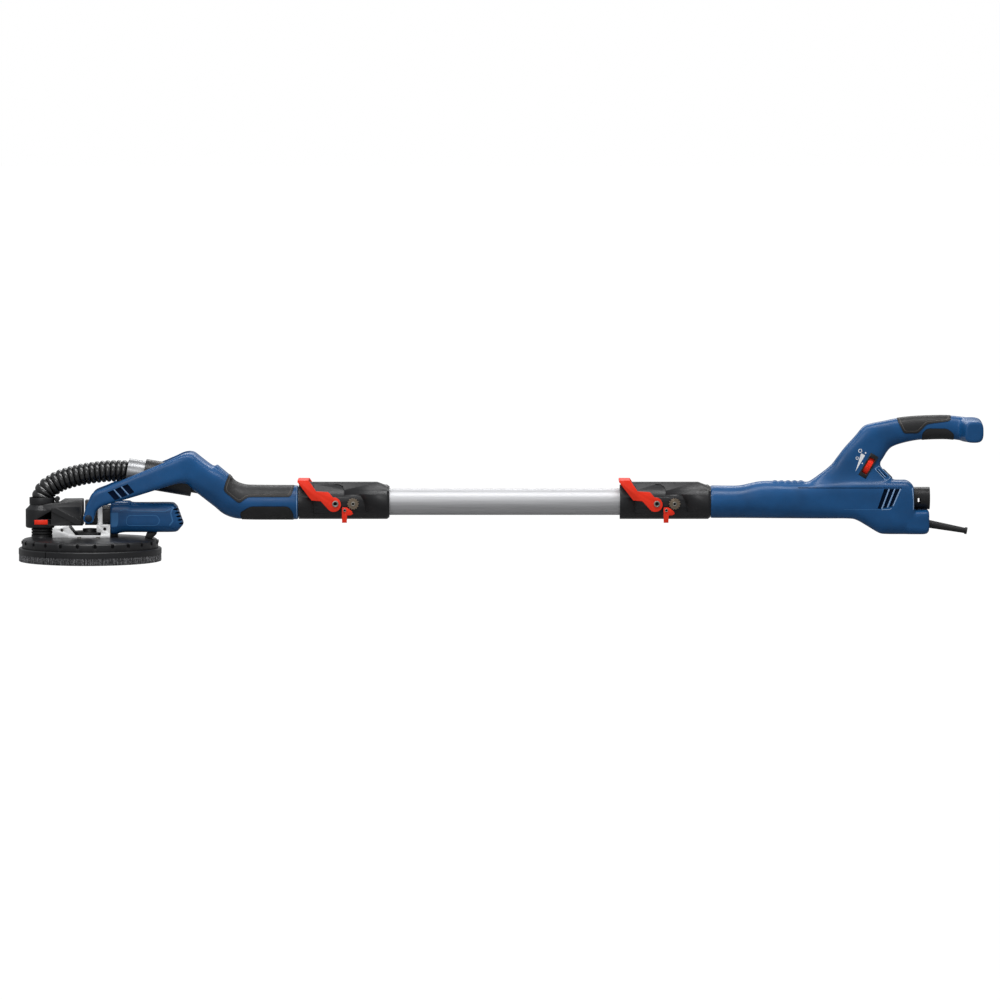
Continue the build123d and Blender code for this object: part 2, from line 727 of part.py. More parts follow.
def suction():
    box_outline = [
        (-80, 62), (-80, 98), (-68.6, 101), (-54, 101), (-45, 106.6), (-12.8, 107), (-11.7, 105.5), (-11.7, 62),
    ]
    box = slab(box_outline, -box_half, box_half)
    half = [(box_half, 60), (box_half, 94), (box_shoulder, 108)]
    section = half + [(-y, z) for y, z in reversed(half)]
    box &= extrude(Plane.YZ.offset(outlet_x - 1) * outline(section), 80)
    drum_low, drum_top = drum_z
    drum = turned([(0, drum_low), (drum_radius - 2, drum_low), (drum_radius, drum_low + 2),
                   (drum_radius, drum_top - 6), (drum_radius - 6, drum_top), (elbow_radius - 1, elbow_seat),
                   (0, elbow_seat)], outlet_x)
    body = drum + box
    body -= upright(drum_low + drum_wall, drum_top - 6, drum_radius - drum_wall, outlet_x)
    body -= upright(drum_low - 7, drum_low + 8, outlet_radius, outlet_x)
    elbow_bore = hose_radius + 0.2
    body -= upright(drum_top - 7, elbow_top, elbow_bore, outlet_x)
    body -= upright(elbow_seat, far, elbow_radius, outlet_x)
    (window_start, window_end), (window_low, window_top) = window_x, window_z
    window = slab([(window_start, window_low), (window_end, window_low), (window_end, window_top)], -40, 0)
    body -= window & upright(drum_low, drum_top, drum_radius + 5, outlet_x)
    pins = rod((roll_pin_ends[0], 0, pivot_z), (-roll_pin_gap, 0, pivot_z), pin_radius)
    pins += rod((roll_pin_gap, 0, pivot_z), (roll_pin_ends[1], 0, pivot_z), pin_radius)
    elbow = tube((outlet_x, 0, elbow_seat), (outlet_x, 0, elbow_top), elbow_radius, elbow_bore + elbow_wall)
    body += cross_rod(clip_x, clip_z, -clip_half, clip_half, clip_radius)
    body += block((clip_x - 2.6, clip_x + 2.6), (-clip_half, clip_half), (elbow_seat, clip_z))
    slider_in = drum_radius + clearance
    slider_out = slider_in + slider_thickness
    slider = upright(*slider_z, slider_out, outlet_x) - upright(*slider_z, slider_in, outlet_x)
    edge = far * tan(radians(slider_angle))
    slider &= prism([(outlet_x, 0), (outlet_x - edge, -far), (outlet_x + edge, -far)], *slider_z)
    body -= slider_track(slider_in - clearance, slider_out)
    save("suction_housing", body - pins - bracket_screw_places())
    save("roll_pins", pins)
    save("hose_elbow", elbow)
    save("suction_slider", slider)


def slider_track(inner, outer):
    """Room on the near side of the box for the slider's swing about the drum."""
    low, high = slider_z[0] - slider_room, slider_z[1] + slider_room
    ring = upright(low, high, outer + clearance, outlet_x) - upright(low, high, inner, outlet_x)
    return ring & block((outlet_x, outlet_x + 44), (-far, 0), (low, high))


def bellows():
    low, high = bellows_z
    points = [(outlet_radius, low), (bellows_radius, low)]
    pitch = (high - low) / bellows_ribs
    for step in range(bellows_ribs):
        base = low + step * pitch
        points += [(bellows_radius, base + pitch * 0.55), (bellows_radius - bellows_fold, base + pitch * 0.75)]
        points += [(bellows_radius, base + pitch * 0.95)]
    points += [(bellows_radius, high), (outlet_radius, high), (bellows_radius - bellows_wall, (low + high) / 2)]
    save("bellows", turned(points, outlet_x))


# ---------------------------------------------------------------- head bracket

cheek_inner, cheek_outer, foot_outer = 25.0, 30.0, 35.0
case_gap = 0.6
foot_inner = case_radius + 2 * case_gap
foot_top = 45.5
foot_lap = 28.0
arm_x = (14.4, 22.9)
arm_top = 97.0
bracket_base = deck_top + 0.2
cheek_top = 61.8
left_cheek_x = (-64.0, -35.0)
right_cheek_x = (20.5, 36.6)
saddle_top = 64.0
hole_radius_side = 2.8
strut_run = 14.3
bolt_x, bolt_y = -46.0, 20.0
bolt_head_z = (48.0, 52.0)


def bracket_screw_places():
    head_low, head_high = bolt_head_z
    places = Part()
    for side in (1, -1):
        places += rod((bolt_x, side * bolt_y, head_high), (bolt_x, side * bolt_y, 70), screw_radius)
        places += rod((bolt_x, side * bolt_y, head_low), (bolt_x, side * bolt_y, head_high), screw_head)
    return places


def bracket():
    x_low, x_high = left_cheek_x
    left = slab([(x_low, bracket_base), (x_low, 54), (x_low + 4, cheek_top), (x_high, cheek_top),
                 (x_high, bracket_base)], -cheek_outer, cheek_outer)
    left -= rod((outlet_x, 0, 30), (outlet_x, 0, 70), drum_radius + clearance)
    left -= rod((0, 0, 30), (0, 0, cheek_top + 1), case_radius + case_gap)
    left -= cross_rod(-47.4, 54.1, -60, 60, hole_radius_side)
    left -= bracket_screw_places()
    for side in (1, -1):
        left -= block((bolt_x - 4, bolt_x + 4), sorted((side * (bolt_y - 5), side * (bolt_y + 5))),
                      (30, bolt_head_z[0]))
    saddle_low = case_top + 0.4
    x_low, x_high = right_cheek_x
    right = slab([(13, saddle_low), (13, saddle_top), (x_high, saddle_top), (x_high, saddle_low)], -cheek_outer,
                 cheek_outer)
    right += block(arm_x, (-14, 14), (60, arm_top))

    def side_parts(side):
        inner, outer = side * cheek_inner, side * cheek_outer
        sill, lap, edge = side * foot_inner, side * foot_lap, side * foot_outer
        strut_x = left_cheek_x[1] - 1
        strut = cross_slab([(strut_x, 60), (strut_x + strut_run + 1, bracket_base), (strut_x, bracket_base)],
                           inner, outer)
        strut += block(right_cheek_x, sorted((inner, outer)), (bracket_base, 52))
        foot = block((strut_x, x_high), sorted((sill, edge)), (bracket_base, foot_top))
        foot += cross_slab([(strut_x, bracket_base), (strut_x, foot_top), (strut_x + strut_run, bracket_base)],
                           lap, edge)
        foot += block(right_cheek_x, sorted((lap, edge)), (bracket_base, foot_top))
        return strut + foot

    right += both_sides(side_parts)
    right -= rod((0, 0, 49), (0, 0, 60), wheel_bearing + case_wall + clearance)
    right -= rod((layshaft_x, 0, 30), (layshaft_x, 0, 70), lay_bearing + case_wall + clearance)
    right -= rod((0, 0, 30), (0, 0, case_top + clearance), case_radius + case_gap)
    right -= cross_rod(27.3, 56.2, -60, 60, hole_radius_side)
    right -= rod((10, 0, pivot_z), (30, 0, pivot_z), pin_radius)
    save("head_bracket", left + right)


# ---------------------------------------------------------------- motor

motor_x = right_cheek_x[1]
motor_low, motor_top = 45.5, 104.0
motor_outline = [
    (motor_x, 100), (41, motor_top), (71, motor_top), (74, 101.3), (146, 101.3), (153, 94.5), (164.2, 63.9),
    (152.6, 49.7), (50, 49.2), (45, motor_low), (motor_x, motor_low),
]
motor_half_width = 28.0
motor_corner = 16.0
motor_wall = 3.0
stator_radius, stator_bore = 22.0, 16.0
armature_radius = 15.4
commutator_radius = 9.0
front_bearing_x = (50.0, 57.0)
rear_bearing_x = (146.0, 152.0)
rear_bearing = 8.0
nose_size = (44.0, 32.0, 10.0)
motor_shaft, motor_shaft_x = 4.0, 45.0
stator_x = (77.0, 122.0)
commutator_x = (128.0, 139.0)
fan_x, fan_radius, fan_blades = (63.0, 71.0), 20.5, 9
motor_vents = 5
motor_vent_low, vent_step = (162.9, 63.0), (1.6, 7.0)
vent_half, vent_height = 16.0, 3.2
bumper_outline = [(96, 39.6), (100, 49.3), (117.5, 49.4), (116, 45), (109, 38.3)]
bumper_half = 9.0


def motor_shape(inset):
    low, high = motor_low + inset, motor_top - inset
    width = 2 * (motor_half_width - inset)
    face = RectangleRounded(width, high - low, motor_corner - inset)
    section = Plane.YZ.offset(motor_x - 6) * Pos(0, (low + high) / 2) * face
    return slab(motor_outline, -motor_half_width, motor_half_width, inset) & extrude(section, 140)


def along(x_range, radius):
    return rod((x_range[0], 0, pivot_z), (x_range[1], 0, pivot_z), radius)


def motor():
    case, bearings = gear_case()
    gear_room = upright(tower_top + 1.5, pivot_z + 12, bevel_radius + 1.8, layshaft_x)
    gear_room += along((layshaft_x, front_bearing_x[0]), bevel_radius + 2.5)
    width, height, corner = nose_size
    nose = Plane.YZ.offset(arm_x[1]) * Pos(0, pivot_z + 4) * RectangleRounded(width, height, corner)
    nose = extrude(nose, motor_x - arm_x[1])
    shaft_hole = upright(tower_top - 1, tower_top + 3, shaft_radius + 1, layshaft_x)
    save("gear_case", case + (nose - gear_room - shaft_hole))

    front_end, rear_start = front_bearing_x[1], rear_bearing_x[0]
    inside = block((front_end + 3, far), (-far, far), (0, far))
    shell = motor_shape(0.0) - (motor_shape(motor_wall) & inside)
    tower = upright(case_floor, tower_top, lay_bearing + case_wall, layshaft_x)
    shell -= gear_room + tower + case + shaft_hole
    shell -= along(front_bearing_x, motor_bearing) + along((front_end - 1, front_end + 5), motor_bearing - 2)
    shell += along((rear_start - 5, rear_start + 10), rear_bearing + 3) & motor_shape(1.0)
    shell -= along(rear_bearing_x, rear_bearing) + along((rear_start - 6, rear_start + 1), rear_bearing - 2)
    stop_x = (stator_x[0] - 5, stator_x[0] - 1)
    shell += (along(stop_x, motor_half_width + 2) - along(stop_x, stator_radius)) & motor_shape(1.0)
    for step in range(motor_vents):
        x, z = motor_vent_low[0] - vent_step[0] * step, motor_vent_low[1] + vent_step[1] * step
        vent = block((x - 6, x + 14), (-vent_half, vent_half), (z - vent_height / 2, z + vent_height / 2))
        shell -= vent - along((100, 158), rear_bearing + 3.2)
    save("motor_housing_left", shell & block((0, far), (0, far), (0, far)))
    save("motor_housing_right", shell & block((0, far), (-far, 0), (0, far)))

    save("stator", along(stator_x, stator_radius) - along(stator_x, stator_bore))
    shaft = along((motor_shaft_x, rear_bearing_x[1]), motor_shaft)
    shaft += along((layshaft_x + 2.2, motor_shaft_x + 0.2), shaft_radius)
    blades = Part()
    for step in range(fan_blades):
        blade = block((fan_x[0] + 1.5, fan_x[1]), (9, 20), (-0.8, 0.8))
        blades += Pos(0, 0, pivot_z) * Rot(step * 360 / fan_blades, 0, 0) * blade
    armature = shaft + along((stator_x[0] + 2, stator_x[1] - 2), armature_radius)
    armature += along(commutator_x, commutator_radius) + along((fan_x[0], fan_x[0] + 1.8), fan_radius)
    facing = Plane(origin=(layshaft_x, 0, pivot_z), x_dir=(0, 0, 1), z_dir=(-1, 0, 0))
    armature += blades + facing * bevel_gear(0.0)
    save("armature", armature)
    brush_x = (commutator_x[0] + 2, commutator_x[1] - 2)
    brushes = both_sides(lambda side: block(brush_x, sorted((side * 9.4, side * 24.6)),
                                            (pivot_z - 3, pivot_z + 3)))
    save("carbon_brushes", brushes - along(commutator_x, commutator_radius + clearance))
    for x_range, outer in ((front_bearing_x, motor_bearing), (rear_bearing_x, rear_bearing)):
        bearings += along(x_range, outer) - along(x_range, motor_shaft + bearing_fit)
    save("bearings", bearings)
    save("motor_bumper", slab(bumper_outline, -bumper_half, bumper_half))


# ---------------------------------------------------------------- rear housing

rear_outline = [
    (1240, 131.5), (1253, 136.5), (1264, 141.4), (1276, 150), (1296, 166), (1318, 194.4), (1355, 235),
    (1360, 237.3),
    (1411, 248.3), (1453, 252.5), (1477.5, 253.2), (1507, 252.9), (1531, 249.6), (1553, 244.7), (1560.4, 236),
    (1559.2, 224), (1555.4, 211.6), (1546, 206.7), (1531, 207.2), (1502, 211.6), (1477.5, 212), (1441, 209),
    (1404, 199.3), (1396.5, 192), (1386.7, 177), (1382.3, 169.8), (1384.3, 162.4), (1406.5, 140.4), (1431, 139),
    (1438.3, 131.8), (rear_face_x, ledge_z), (rear_end_x, ledge_z), (rear_end_x, 52), (rear_end_x - 5, 45.9),
    (1384.3, 45.9), (1337.7, 72.8), (1240, 73.5),
]
bar_outline = [
    (1533, 248.5), (1553, 244.7), (1560.4, 236), (1559.2, 224), (1555.4, 211.6), (1546, 206.7), (1534, 207.2),
    (1528, 216), (1528, 240),
]


hump_outline = [(1150, 120), (1171, 138.3), (1192.5, 138.3), (1245, 134), (1290, 130), (1290, 110)]
hump_half = 14.0
body_start_x = 1235.0
body_z = (45.9, 158.0)
body_corner = 22.0


def rear_shape(inset):
    """The whole outer form of the rear housing with its handle, with every face moved in by the inset."""
    body_low, body_high = body_z[0] + inset, body_z[1] - inset
    width = 2 * (body_half_width - inset)
    middle = (body_low + body_high) / 2
    face = RectangleRounded(width, body_high - body_low, body_corner - inset)
    section = Plane.YZ.offset(body_start_x) * Pos(0, middle) * face
    whole = slab(rear_outline, -body_half_width, body_half_width, inset)
    handle_y = (inset - handle_half_width, handle_half_width - inset)
    handle = whole & block((rear_x, 2 * rear_x), handle_y, (0, far))
    body = whole & extrude(section, 240)
    bar = slab(bar_outline, inset - bar_half_length, bar_half_length - inset, inset)
    sleeve = rod((rear_x + inset, 0, pole_z), (body_start_x + 55, 0, pole_z), rear_sleeve_radius - inset)
    hump = slab(hump_outline, inset - hump_half, hump_half - inset, inset)
    return handle + body + bar + sleeve + hump


top_grip_outline = [(1411.6, 280), (1411.6, 246), (1422.6, 223), (1447.4, 223), (1463, 239.4), (1503.8, 244.8),
                    (1508, 280)]
low_grip_outline = [(1455, 200), (1455, 222), (1463, 231), (1498, 231), (1510, 222), (1510, 200)]


vent_count = 3
vent_x, vent_z = 1376.0, (93.0, 126.0)
vent_pitch, vent_width, vent_lean = 9.9, 5.6, 12.8
wheel_lean = 60.0
wheel_gap = 0.6
axle_radius = 2.5
knurl_count, knurl_radius = 24, 0.9
cheek_size = (17.5, 10.0, 3.0)
bezel_size = (44.0, 15.0, 3.0)
bezel_window = 30.0
rocker_slope = 45.0
rocker_rise, rocker_axle_drop, rocker_round = 1.5, 2.5, 6.0
module_drop, module_depth, module_rim = 9.0, 12.0, 5.0
flange_radius = tube_radius + 1.5
duct_bore = 17.0
board_z = (56.0, 57.6)
board_post = (1396.0, 1402.0)
case_screws = ((1300, 150, handle_half_width), (1340, 205, handle_half_width), (1479, 236, handle_half_width),
               (1374, 66, body_half_width))
ON_TOP = (Align.CENTER, Align.CENTER, Align.MAX)


def rocker_place():
    slope = radians(rocker_slope)
    return Plane(origin=(rocker_centre[0], 0, rocker_centre[1]), x_dir=(cos(slope), 0, -sin(slope)),
                 z_dir=(sin(slope), 0, cos(slope)))


def wheel_place():
    lean = radians(wheel_lean)
    return Plane(origin=wheel_centre, x_dir=(0, 1, 0), z_dir=Vector(-sin(lean), 0, cos(lean)))


def speed_control():
    """The speed wheel in its bezel, with the room and the axle that the housing gives it."""
    place, lean = wheel_place(), radians(wheel_lean)
    room = place * Cylinder(wheel_radius + 1, wheel_width + 2 * wheel_gap)
    front = Plane(origin=(wheel_centre[0], -handle_half_width, wheel_centre[2]),
                  x_dir=(cos(lean), 0, sin(lean)), z_dir=(0, -1, 0))
    bezel_room = front * Box(*bezel_size)
    bezel = bezel_room - front * Box(bezel_window, wheel_width + 2 * wheel_gap, 10) - room
    wheel = place * Cylinder(wheel_radius, wheel_width)
    for step in range(knurl_count):
        y, x = around(wheel_radius + 0.3, step * 360 / knurl_count)
        wheel -= place * Pos(y, x) * Cylinder(knurl_radius, wheel_width + 2)
    wheel -= place * Cylinder(axle_radius + pin_fit, wheel_width + 2)
    length, depth, thickness = cheek_size
    cheek_z = wheel_width / 2 + wheel_gap + thickness / 2
    axle = place * Cylinder(axle_radius, wheel_width + 2 * thickness)
    cheeks = both_sides(lambda side: place * Pos(-5.25, 0, side * cheek_z) * Box(length, depth, thickness))
    save("speed_wheel_bezel", bezel)
    save("speed_wheel", wheel)
    return cheeks + axle, room - axle, bezel_room


def power_switch():
    """The rocker over its switch module, with the pocket that the housing gives them."""
    place = rocker_place()
    length, width, depth = rocker_size
    drop = place * Pos(0, 0, -module_drop)
    module_box = drop * Box(length + module_rim, width + module_rim, module_depth, align=ON_TOP)
    pocket = drop * Box(length + 1, width + 1, 20, align=UP)
    rocker = place * Pos(0, 0, rocker_rise) * Box(length, width, depth, align=ON_TOP)
    rocker -= drop * Box(length + 2, width + 2, 1.6, align=UP)
    axle = place * Pos(0, 0, -rocker_axle_drop)
    lower = axle * Box(length + 2, width + 2, 10, align=ON_TOP)
    save("power_rocker", (rocker - lower) + ((axle * Rot(90, 0, 0) * Cylinder(rocker_round, width)) & lower))
    save("switch_module", module_box)
    return pocket + module_box


def hose_port():
    """Hose adapter on the dust duct's end, with the room that the housing gives it."""
    duct_end = adapter_start_x - 6
    flange = (duct_end, 0, pole_z), (adapter_start_x, 0, pole_z)
    sleeve = (adapter_start_x, 0, adapter_z), (rear_end_x, 0, adapter_z)
    adapter = tube(*sleeve, adapter_radius, adapter_bore) + tube(*flange, flange_radius, duct_bore)
    save("hose_adapter", adapter - block(latch_x, (-40, 40), latch_z))
    save("rear_dust_duct", pole_tube(rear_collar_x + insertion + stop_width, duct_end))
    return rod(*sleeve, adapter_radius) + rod(*flange, flange_radius)


def control_board():
    """Board with its coil block, heat sink and capacitor, standing on a post."""
    low, high = board_z
    board = block((1392, 1448), (-21, 21), board_z) + block((1400, 1416), (-14, 6), (high, high + 8.4))
    board += block((1422, 1440), (-16, 12), (high, high + 6.4)) + rod((1432, 16.5, high),
                                                                      (1432, 16.5, high + 9.4), 3)
    save("control_board", board + block(board_post, (-8, 8), (body_z[0] + housing_wall, low)))


def rear_housing():
    outer = rear_shape(0.0)
    core = rear_shape(grip_depth)
    inner = rear_shape(housing_wall)
    top_grip = (outer - core) & slab(top_grip_outline, -40, 40)
    low_grip = (outer - core) & slab(low_grip_outline, -40, 40)
    screws, bosses = side_screws(case_screws)
    wheel_carrier, wheel_room, bezel_room = speed_control()
    duct_room = rod((rear_x - 5, 0, pole_z), (adapter_start_x, 0, pole_z), tube_radius)

    shell = (outer - top_grip - low_grip) - inner + (bosses & core) - screws
    for step in range(vent_count):
        x = vent_x + vent_pitch * step
        low, high = vent_z
        vent = [(x, low), (x + vent_width, low), (x + vent_width + vent_lean, high), (x + vent_lean, high)]
        shell -= both_sides(lambda side: cross_slab(vent, side * (body_half_width - 10), side * far))
    shell += wheel_carrier & outer
    shell -= wheel_room
    shell -= bezel_room + power_switch() + duct_room + hose_port() + relief_room()
    save("rear_housing_left", shell & block((rear_x - 9, 2 * rear_x), (0, far), (0, far)))
    save("rear_housing_right", shell & block((rear_x - 9, 2 * rear_x), (-far, 0), (0, far)))
    save("handle_grips", top_grip + low_grip)
    save("housing_screws", screws)
    save("cord_relief", cord_relief())
    control_board()


def relief_point(distance):
    turn = radians(relief_slope)
    return (relief_start[0] + distance * cos(turn), 0, relief_start[1] - distance * sin(turn))


def relief_room():
    return rod(relief_point(-relief_seat), relief_point(3), relief_radius + pin_fit)


def cord_relief():
    """Flexible sleeve for the mains cord, with an inner flange and an end bead."""
    bead_start = relief_length - bead_length
    body = rod(relief_point(-relief_seat), relief_point(0), relief_radius)
    body += rod(relief_point(0), relief_point(bead_start), relief_radius, relief_tip)
    body += rod(relief_point(-relief_seat - housing_wall), relief_point(0.5 - relief_seat), relief_radius + 2)
    body += rod(relief_point(bead_start), relief_point(relief_length), bead_radius)
    return body - rod(relief_point(-10), relief_point(relief_length + 1), cord_bore)


# ---------------------------------------------------------------- the whole tool

os.makedirs("parts", exist_ok=True)
clamp("front", front_collar_x)
clamp("rear", rear_collar_x)
tube_front_x = front_collar_x + insertion + stop_width
save("extension_tube", pole_tube(tube_front_x, rear_collar_x + insertion - clearance))
neck()
hose()
gimbal()
gear_train()
spindle()
shroud()
brush_skirt()
suction()
bellows()
bracket()
motor()
rear_housing()
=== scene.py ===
import json
from math import atan2, cos, pi, radians, sin, sqrt
from random import Random

import bmesh
import bpy
from mathutils import Matrix, Vector


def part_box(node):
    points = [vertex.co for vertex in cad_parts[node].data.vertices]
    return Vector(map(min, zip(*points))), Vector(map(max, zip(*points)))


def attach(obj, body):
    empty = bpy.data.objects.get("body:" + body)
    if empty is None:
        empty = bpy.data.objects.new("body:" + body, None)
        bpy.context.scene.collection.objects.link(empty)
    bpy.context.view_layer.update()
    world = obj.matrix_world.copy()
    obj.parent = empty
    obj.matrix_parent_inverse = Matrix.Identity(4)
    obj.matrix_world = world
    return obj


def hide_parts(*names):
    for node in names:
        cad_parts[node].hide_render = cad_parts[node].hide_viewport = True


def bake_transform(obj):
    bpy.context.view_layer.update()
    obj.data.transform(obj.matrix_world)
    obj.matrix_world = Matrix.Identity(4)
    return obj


# Looks of the pole drywall sander. Shapes are written in millimetres in the frame's own axes (x, y, z) and
# turned into metres where a mesh is made.

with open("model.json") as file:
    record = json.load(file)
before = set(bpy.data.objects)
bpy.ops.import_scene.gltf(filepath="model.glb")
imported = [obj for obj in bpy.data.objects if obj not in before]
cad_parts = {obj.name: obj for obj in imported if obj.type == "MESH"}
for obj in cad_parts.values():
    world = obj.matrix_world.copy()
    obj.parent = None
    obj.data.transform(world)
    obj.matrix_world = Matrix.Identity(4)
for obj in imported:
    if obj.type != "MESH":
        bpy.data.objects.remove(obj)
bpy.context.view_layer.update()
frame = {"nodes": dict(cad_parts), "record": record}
MM = 0.001

node_body = {node: body for body, nodes in frame["record"]["behaviour"]["bodies"].items() for node in nodes}
joint_place = {joint["name"]: joint.get("pos_m") for joint in frame["record"]["behaviour"]["joints"]}

pivot_z = joint_place["head_pitch"][2] / MM
outlet_x = joint_place["suction_slider_turn"][0] / MM
pole_z = 102.0


# ---------------------------------------------------------------- materials

def linear(red, green, blue):
    """sRGB values from 0 to 255 as the linear colour that a shader takes."""
    def one(value):
        share = value / 255
        return share / 12.92 if share <= 0.04045 else ((share + 0.055) / 1.055) ** 2.4
    return (one(red), one(green), one(blue), 1.0)


def shaded(colour, factor):
    """The colour darker or lighter by a factor, with no channel past full."""
    return (min(colour[0] * factor, 1), min(colour[1] * factor, 1), min(colour[2] * factor, 1), 1)


class Finish:
    """A node material being put together: a Principled shader with colour, roughness and bump from noise."""

    def __init__(self, name, metallic=0.0, coat=0.0, specular=0.5):
        self.material = bpy.data.materials.new(name)
        self.material.use_nodes = True
        self.nodes = self.material.node_tree.nodes
        self.links = self.material.node_tree.links
        self.shader = self.nodes["Principled BSDF"]
        self.shader.inputs["Metallic"].default_value = metallic
        self.shader.inputs["Coat Weight"].default_value = coat
        self.shader.inputs["Coat Roughness"].default_value = 0.12
        self.shader.inputs["Specular IOR Level"].default_value = specular
        self.place = self.nodes.new("ShaderNodeTexCoord").outputs["Object"]
        self.normal = None

    def noise(self, scale, detail=3.0, stretch=(1, 1, 1), distortion=0.0):
        mapping = self.nodes.new("ShaderNodeMapping")
        mapping.inputs["Scale"].default_value = stretch
        self.links.new(self.place, mapping.inputs["Vector"])
        texture = self.nodes.new("ShaderNodeTexNoise")
        texture.inputs["Scale"].default_value = scale
        texture.inputs["Detail"].default_value = detail
        texture.inputs["Distortion"].default_value = distortion
        self.links.new(mapping.outputs["Vector"], texture.inputs["Vector"])
        return texture.outputs["Fac"]

    def cells(self, scale):
        texture = self.nodes.new("ShaderNodeTexVoronoi")
        texture.feature = "F1"
        texture.inputs["Scale"].default_value = scale
        self.links.new(self.place, texture.inputs["Vector"])
        return texture.outputs["Distance"]

    def spread(self, value, low, high, clip=(0.3, 0.7)):
        node = self.nodes.new("ShaderNodeMapRange")
        node.inputs["From Min"].default_value, node.inputs["From Max"].default_value = clip
        node.inputs["To Min"].default_value, node.inputs["To Max"].default_value = low, high
        self.links.new(value, node.inputs["Value"])
        return node.outputs["Result"]

    def colour(self, value, dark, light, clip=(0.35, 0.65)):
        ramp = self.nodes.new("ShaderNodeValToRGB")
        first, last = ramp.color_ramp.elements
        first.position, last.position = clip
        first.color, last.color = dark, light
        self.links.new(value, ramp.inputs["Fac"])
        self.links.new(ramp.outputs["Color"], self.shader.inputs["Base Color"])

    def roughness(self, value, low, high):
        self.links.new(self.spread(value, low, high), self.shader.inputs["Roughness"])

    def bump(self, value, strength, distance=0.0004):
        node = self.nodes.new("ShaderNodeBump")
        node.inputs["Strength"].default_value = strength
        node.inputs["Distance"].default_value = distance
        self.links.new(value, node.inputs["Height"])
        if self.normal is not None:
            self.links.new(self.normal, node.inputs["Normal"])
        self.normal = node.outputs["Normal"]
        self.links.new(self.normal, self.shader.inputs["Normal"])


def moulded(name, colour, rough, grain=900.0, relief=0.12, mottle=0.08, specular=0.3):
    """Moulded plastic: fine spark-eroded grain, slightly uneven colour and gloss."""
    finish = Finish(name, specular=specular)
    cloud = finish.noise(22.0, 4.0)
    finish.colour(cloud, shaded(colour, 1 - mottle), shaded(colour, 1 + mottle))
    finish.roughness(finish.noise(60.0, 5.0), rough - 0.05, rough + 0.07)
    finish.bump(finish.noise(grain, 2.0), relief)
    return finish.material


def rubbery(name, colour, rough):
    """Matt rubber or foam with a fine pebbled skin."""
    finish = Finish(name, specular=0.42)
    finish.colour(finish.noise(30.0, 5.0), shaded(colour, 0.85), shaded(colour, 1.25))
    finish.roughness(finish.noise(90.0, 4.0), rough - 0.06, rough + 0.08)
    finish.bump(finish.cells(1400.0), 0.25)
    return finish.material


def drawn_metal(name, colour, rough, stretch, metallic=1.0, relief=0.05):
    """Metal with fine lines along its length, as drawing or turning leaves it."""
    finish = Finish(name, metallic=metallic)
    lines = finish.noise(420.0, 4.0, stretch)
    finish.colour(lines, shaded(colour, 0.93), shaded(colour, 1.05))
    finish.roughness(lines, rough - 0.05, rough + 0.06)
    finish.bump(lines, relief, 0.0002)
    return finish.material


def cast_metal(name, colour, rough):
    """Die-cast metal: cloudy, with a rough skin."""
    finish = Finish(name, metallic=0.4)
    finish.colour(finish.noise(35.0, 6.0), shaded(colour, 0.82), shaded(colour, 1.1))
    finish.roughness(finish.noise(120.0, 4.0), rough - 0.08, rough + 0.1)
    finish.bump(finish.noise(700.0, 4.0), 0.3)
    return finish.material


def grit(name, colour):
    """Abrasive grains glued side by side."""
    finish = Finish(name, specular=0.3)
    grains = finish.cells(1600.0)
    finish.colour(grains, shaded(colour, 0.55), shaded(colour, 1.3), (0.1, 0.7))
    finish.roughness(grains, 0.75, 0.95)
    finish.bump(grains, 0.8, 0.0003)
    return finish.material


def brush_fibre(name, colour):
    """Stiff bristles: light and dark streaks from one to the next."""
    finish = Finish(name, specular=0.4)
    streaks = finish.noise(900.0, 4.0, (1, 1, 0.5))
    finish.colour(streaks, shaded(colour, 0.25), shaded(colour, 2.6), (0.4, 0.62))
    finish.roughness(streaks, 0.42, 0.6)
    finish.bump(streaks, 0.4)
    return finish.material


def circuit(name, colour):
    """Lacquered board with paler tracks."""
    finish = Finish(name, coat=0.4)
    tracks = finish.cells(260.0)
    finish.colour(tracks, shaded(colour, 1.8), colour, (0.1, 0.2))
    finish.roughness(finish.noise(80.0), 0.3, 0.45)
    finish.bump(tracks, 0.2)
    return finish.material


materials = {
    "blue_plastic": moulded("blue_plastic", linear(20, 77, 128), 0.34, 1100.0, 0.08, 0.12, 0.34),
    "black_plastic": moulded("black_plastic", linear(29, 29, 31), 0.38, 900.0, 0.14, 0.1, 0.42),
    "black_rubber": rubbery("black_rubber", linear(31, 31, 32), 0.52),
    "red_plastic": moulded("red_plastic", linear(242, 52, 28), 0.38, 1000.0, 0.08, 0.1, 0.25),
    "tube_aluminium": drawn_metal("tube_aluminium", linear(192, 192, 194), 0.52, (0.02, 1, 1), 0.65),
    "cast_aluminium": cast_metal("cast_aluminium", linear(246, 246, 246), 0.46),
    "steel": drawn_metal("steel", linear(160, 157, 150), 0.34, (1, 0.1, 1)),
    "copper_winding": drawn_metal("copper_winding", linear(190, 110, 60), 0.35, (1, 0.05, 1)),
    "hose_plastic": moulded("hose_plastic", linear(14, 14, 15), 0.26, 300.0, 0.02, 0.2, 0.9),
    "grey_plastic": drawn_metal("grey_plastic", linear(146, 147, 149), 0.36, (0.1, 1, 1), 0.7),
    "abrasive": grit("abrasive", linear(176, 150, 112)),
    "foam": rubbery("foam", linear(62, 62, 66), 0.85),
    "board": circuit("board", linear(16, 84, 44)),
}
star_metal = drawn_metal("star_metal", linear(132, 118, 102), 0.38, (1, 0.1, 1), 0.85)
fibre = brush_fibre("brush_fibre", linear(104, 104, 106))
# Near-black, painted as shade in the stud sockets and shroud notch mouths, and the colour of the dark joints
# at the brush ring's seams.
shade_and_joint_dark = moulded("shade_and_joint_dark", linear(12, 12, 14), 0.7, 600.0, 0.1, 0.1, 0.1)
# Dark blue, painted as the shade inside the vents, slots and grooves of the blue casings.
painted_recess_shade = moulded("painted_recess_shade", linear(3, 22, 50), 0.7, 900.0, 0.1, 0.1, 0.08)
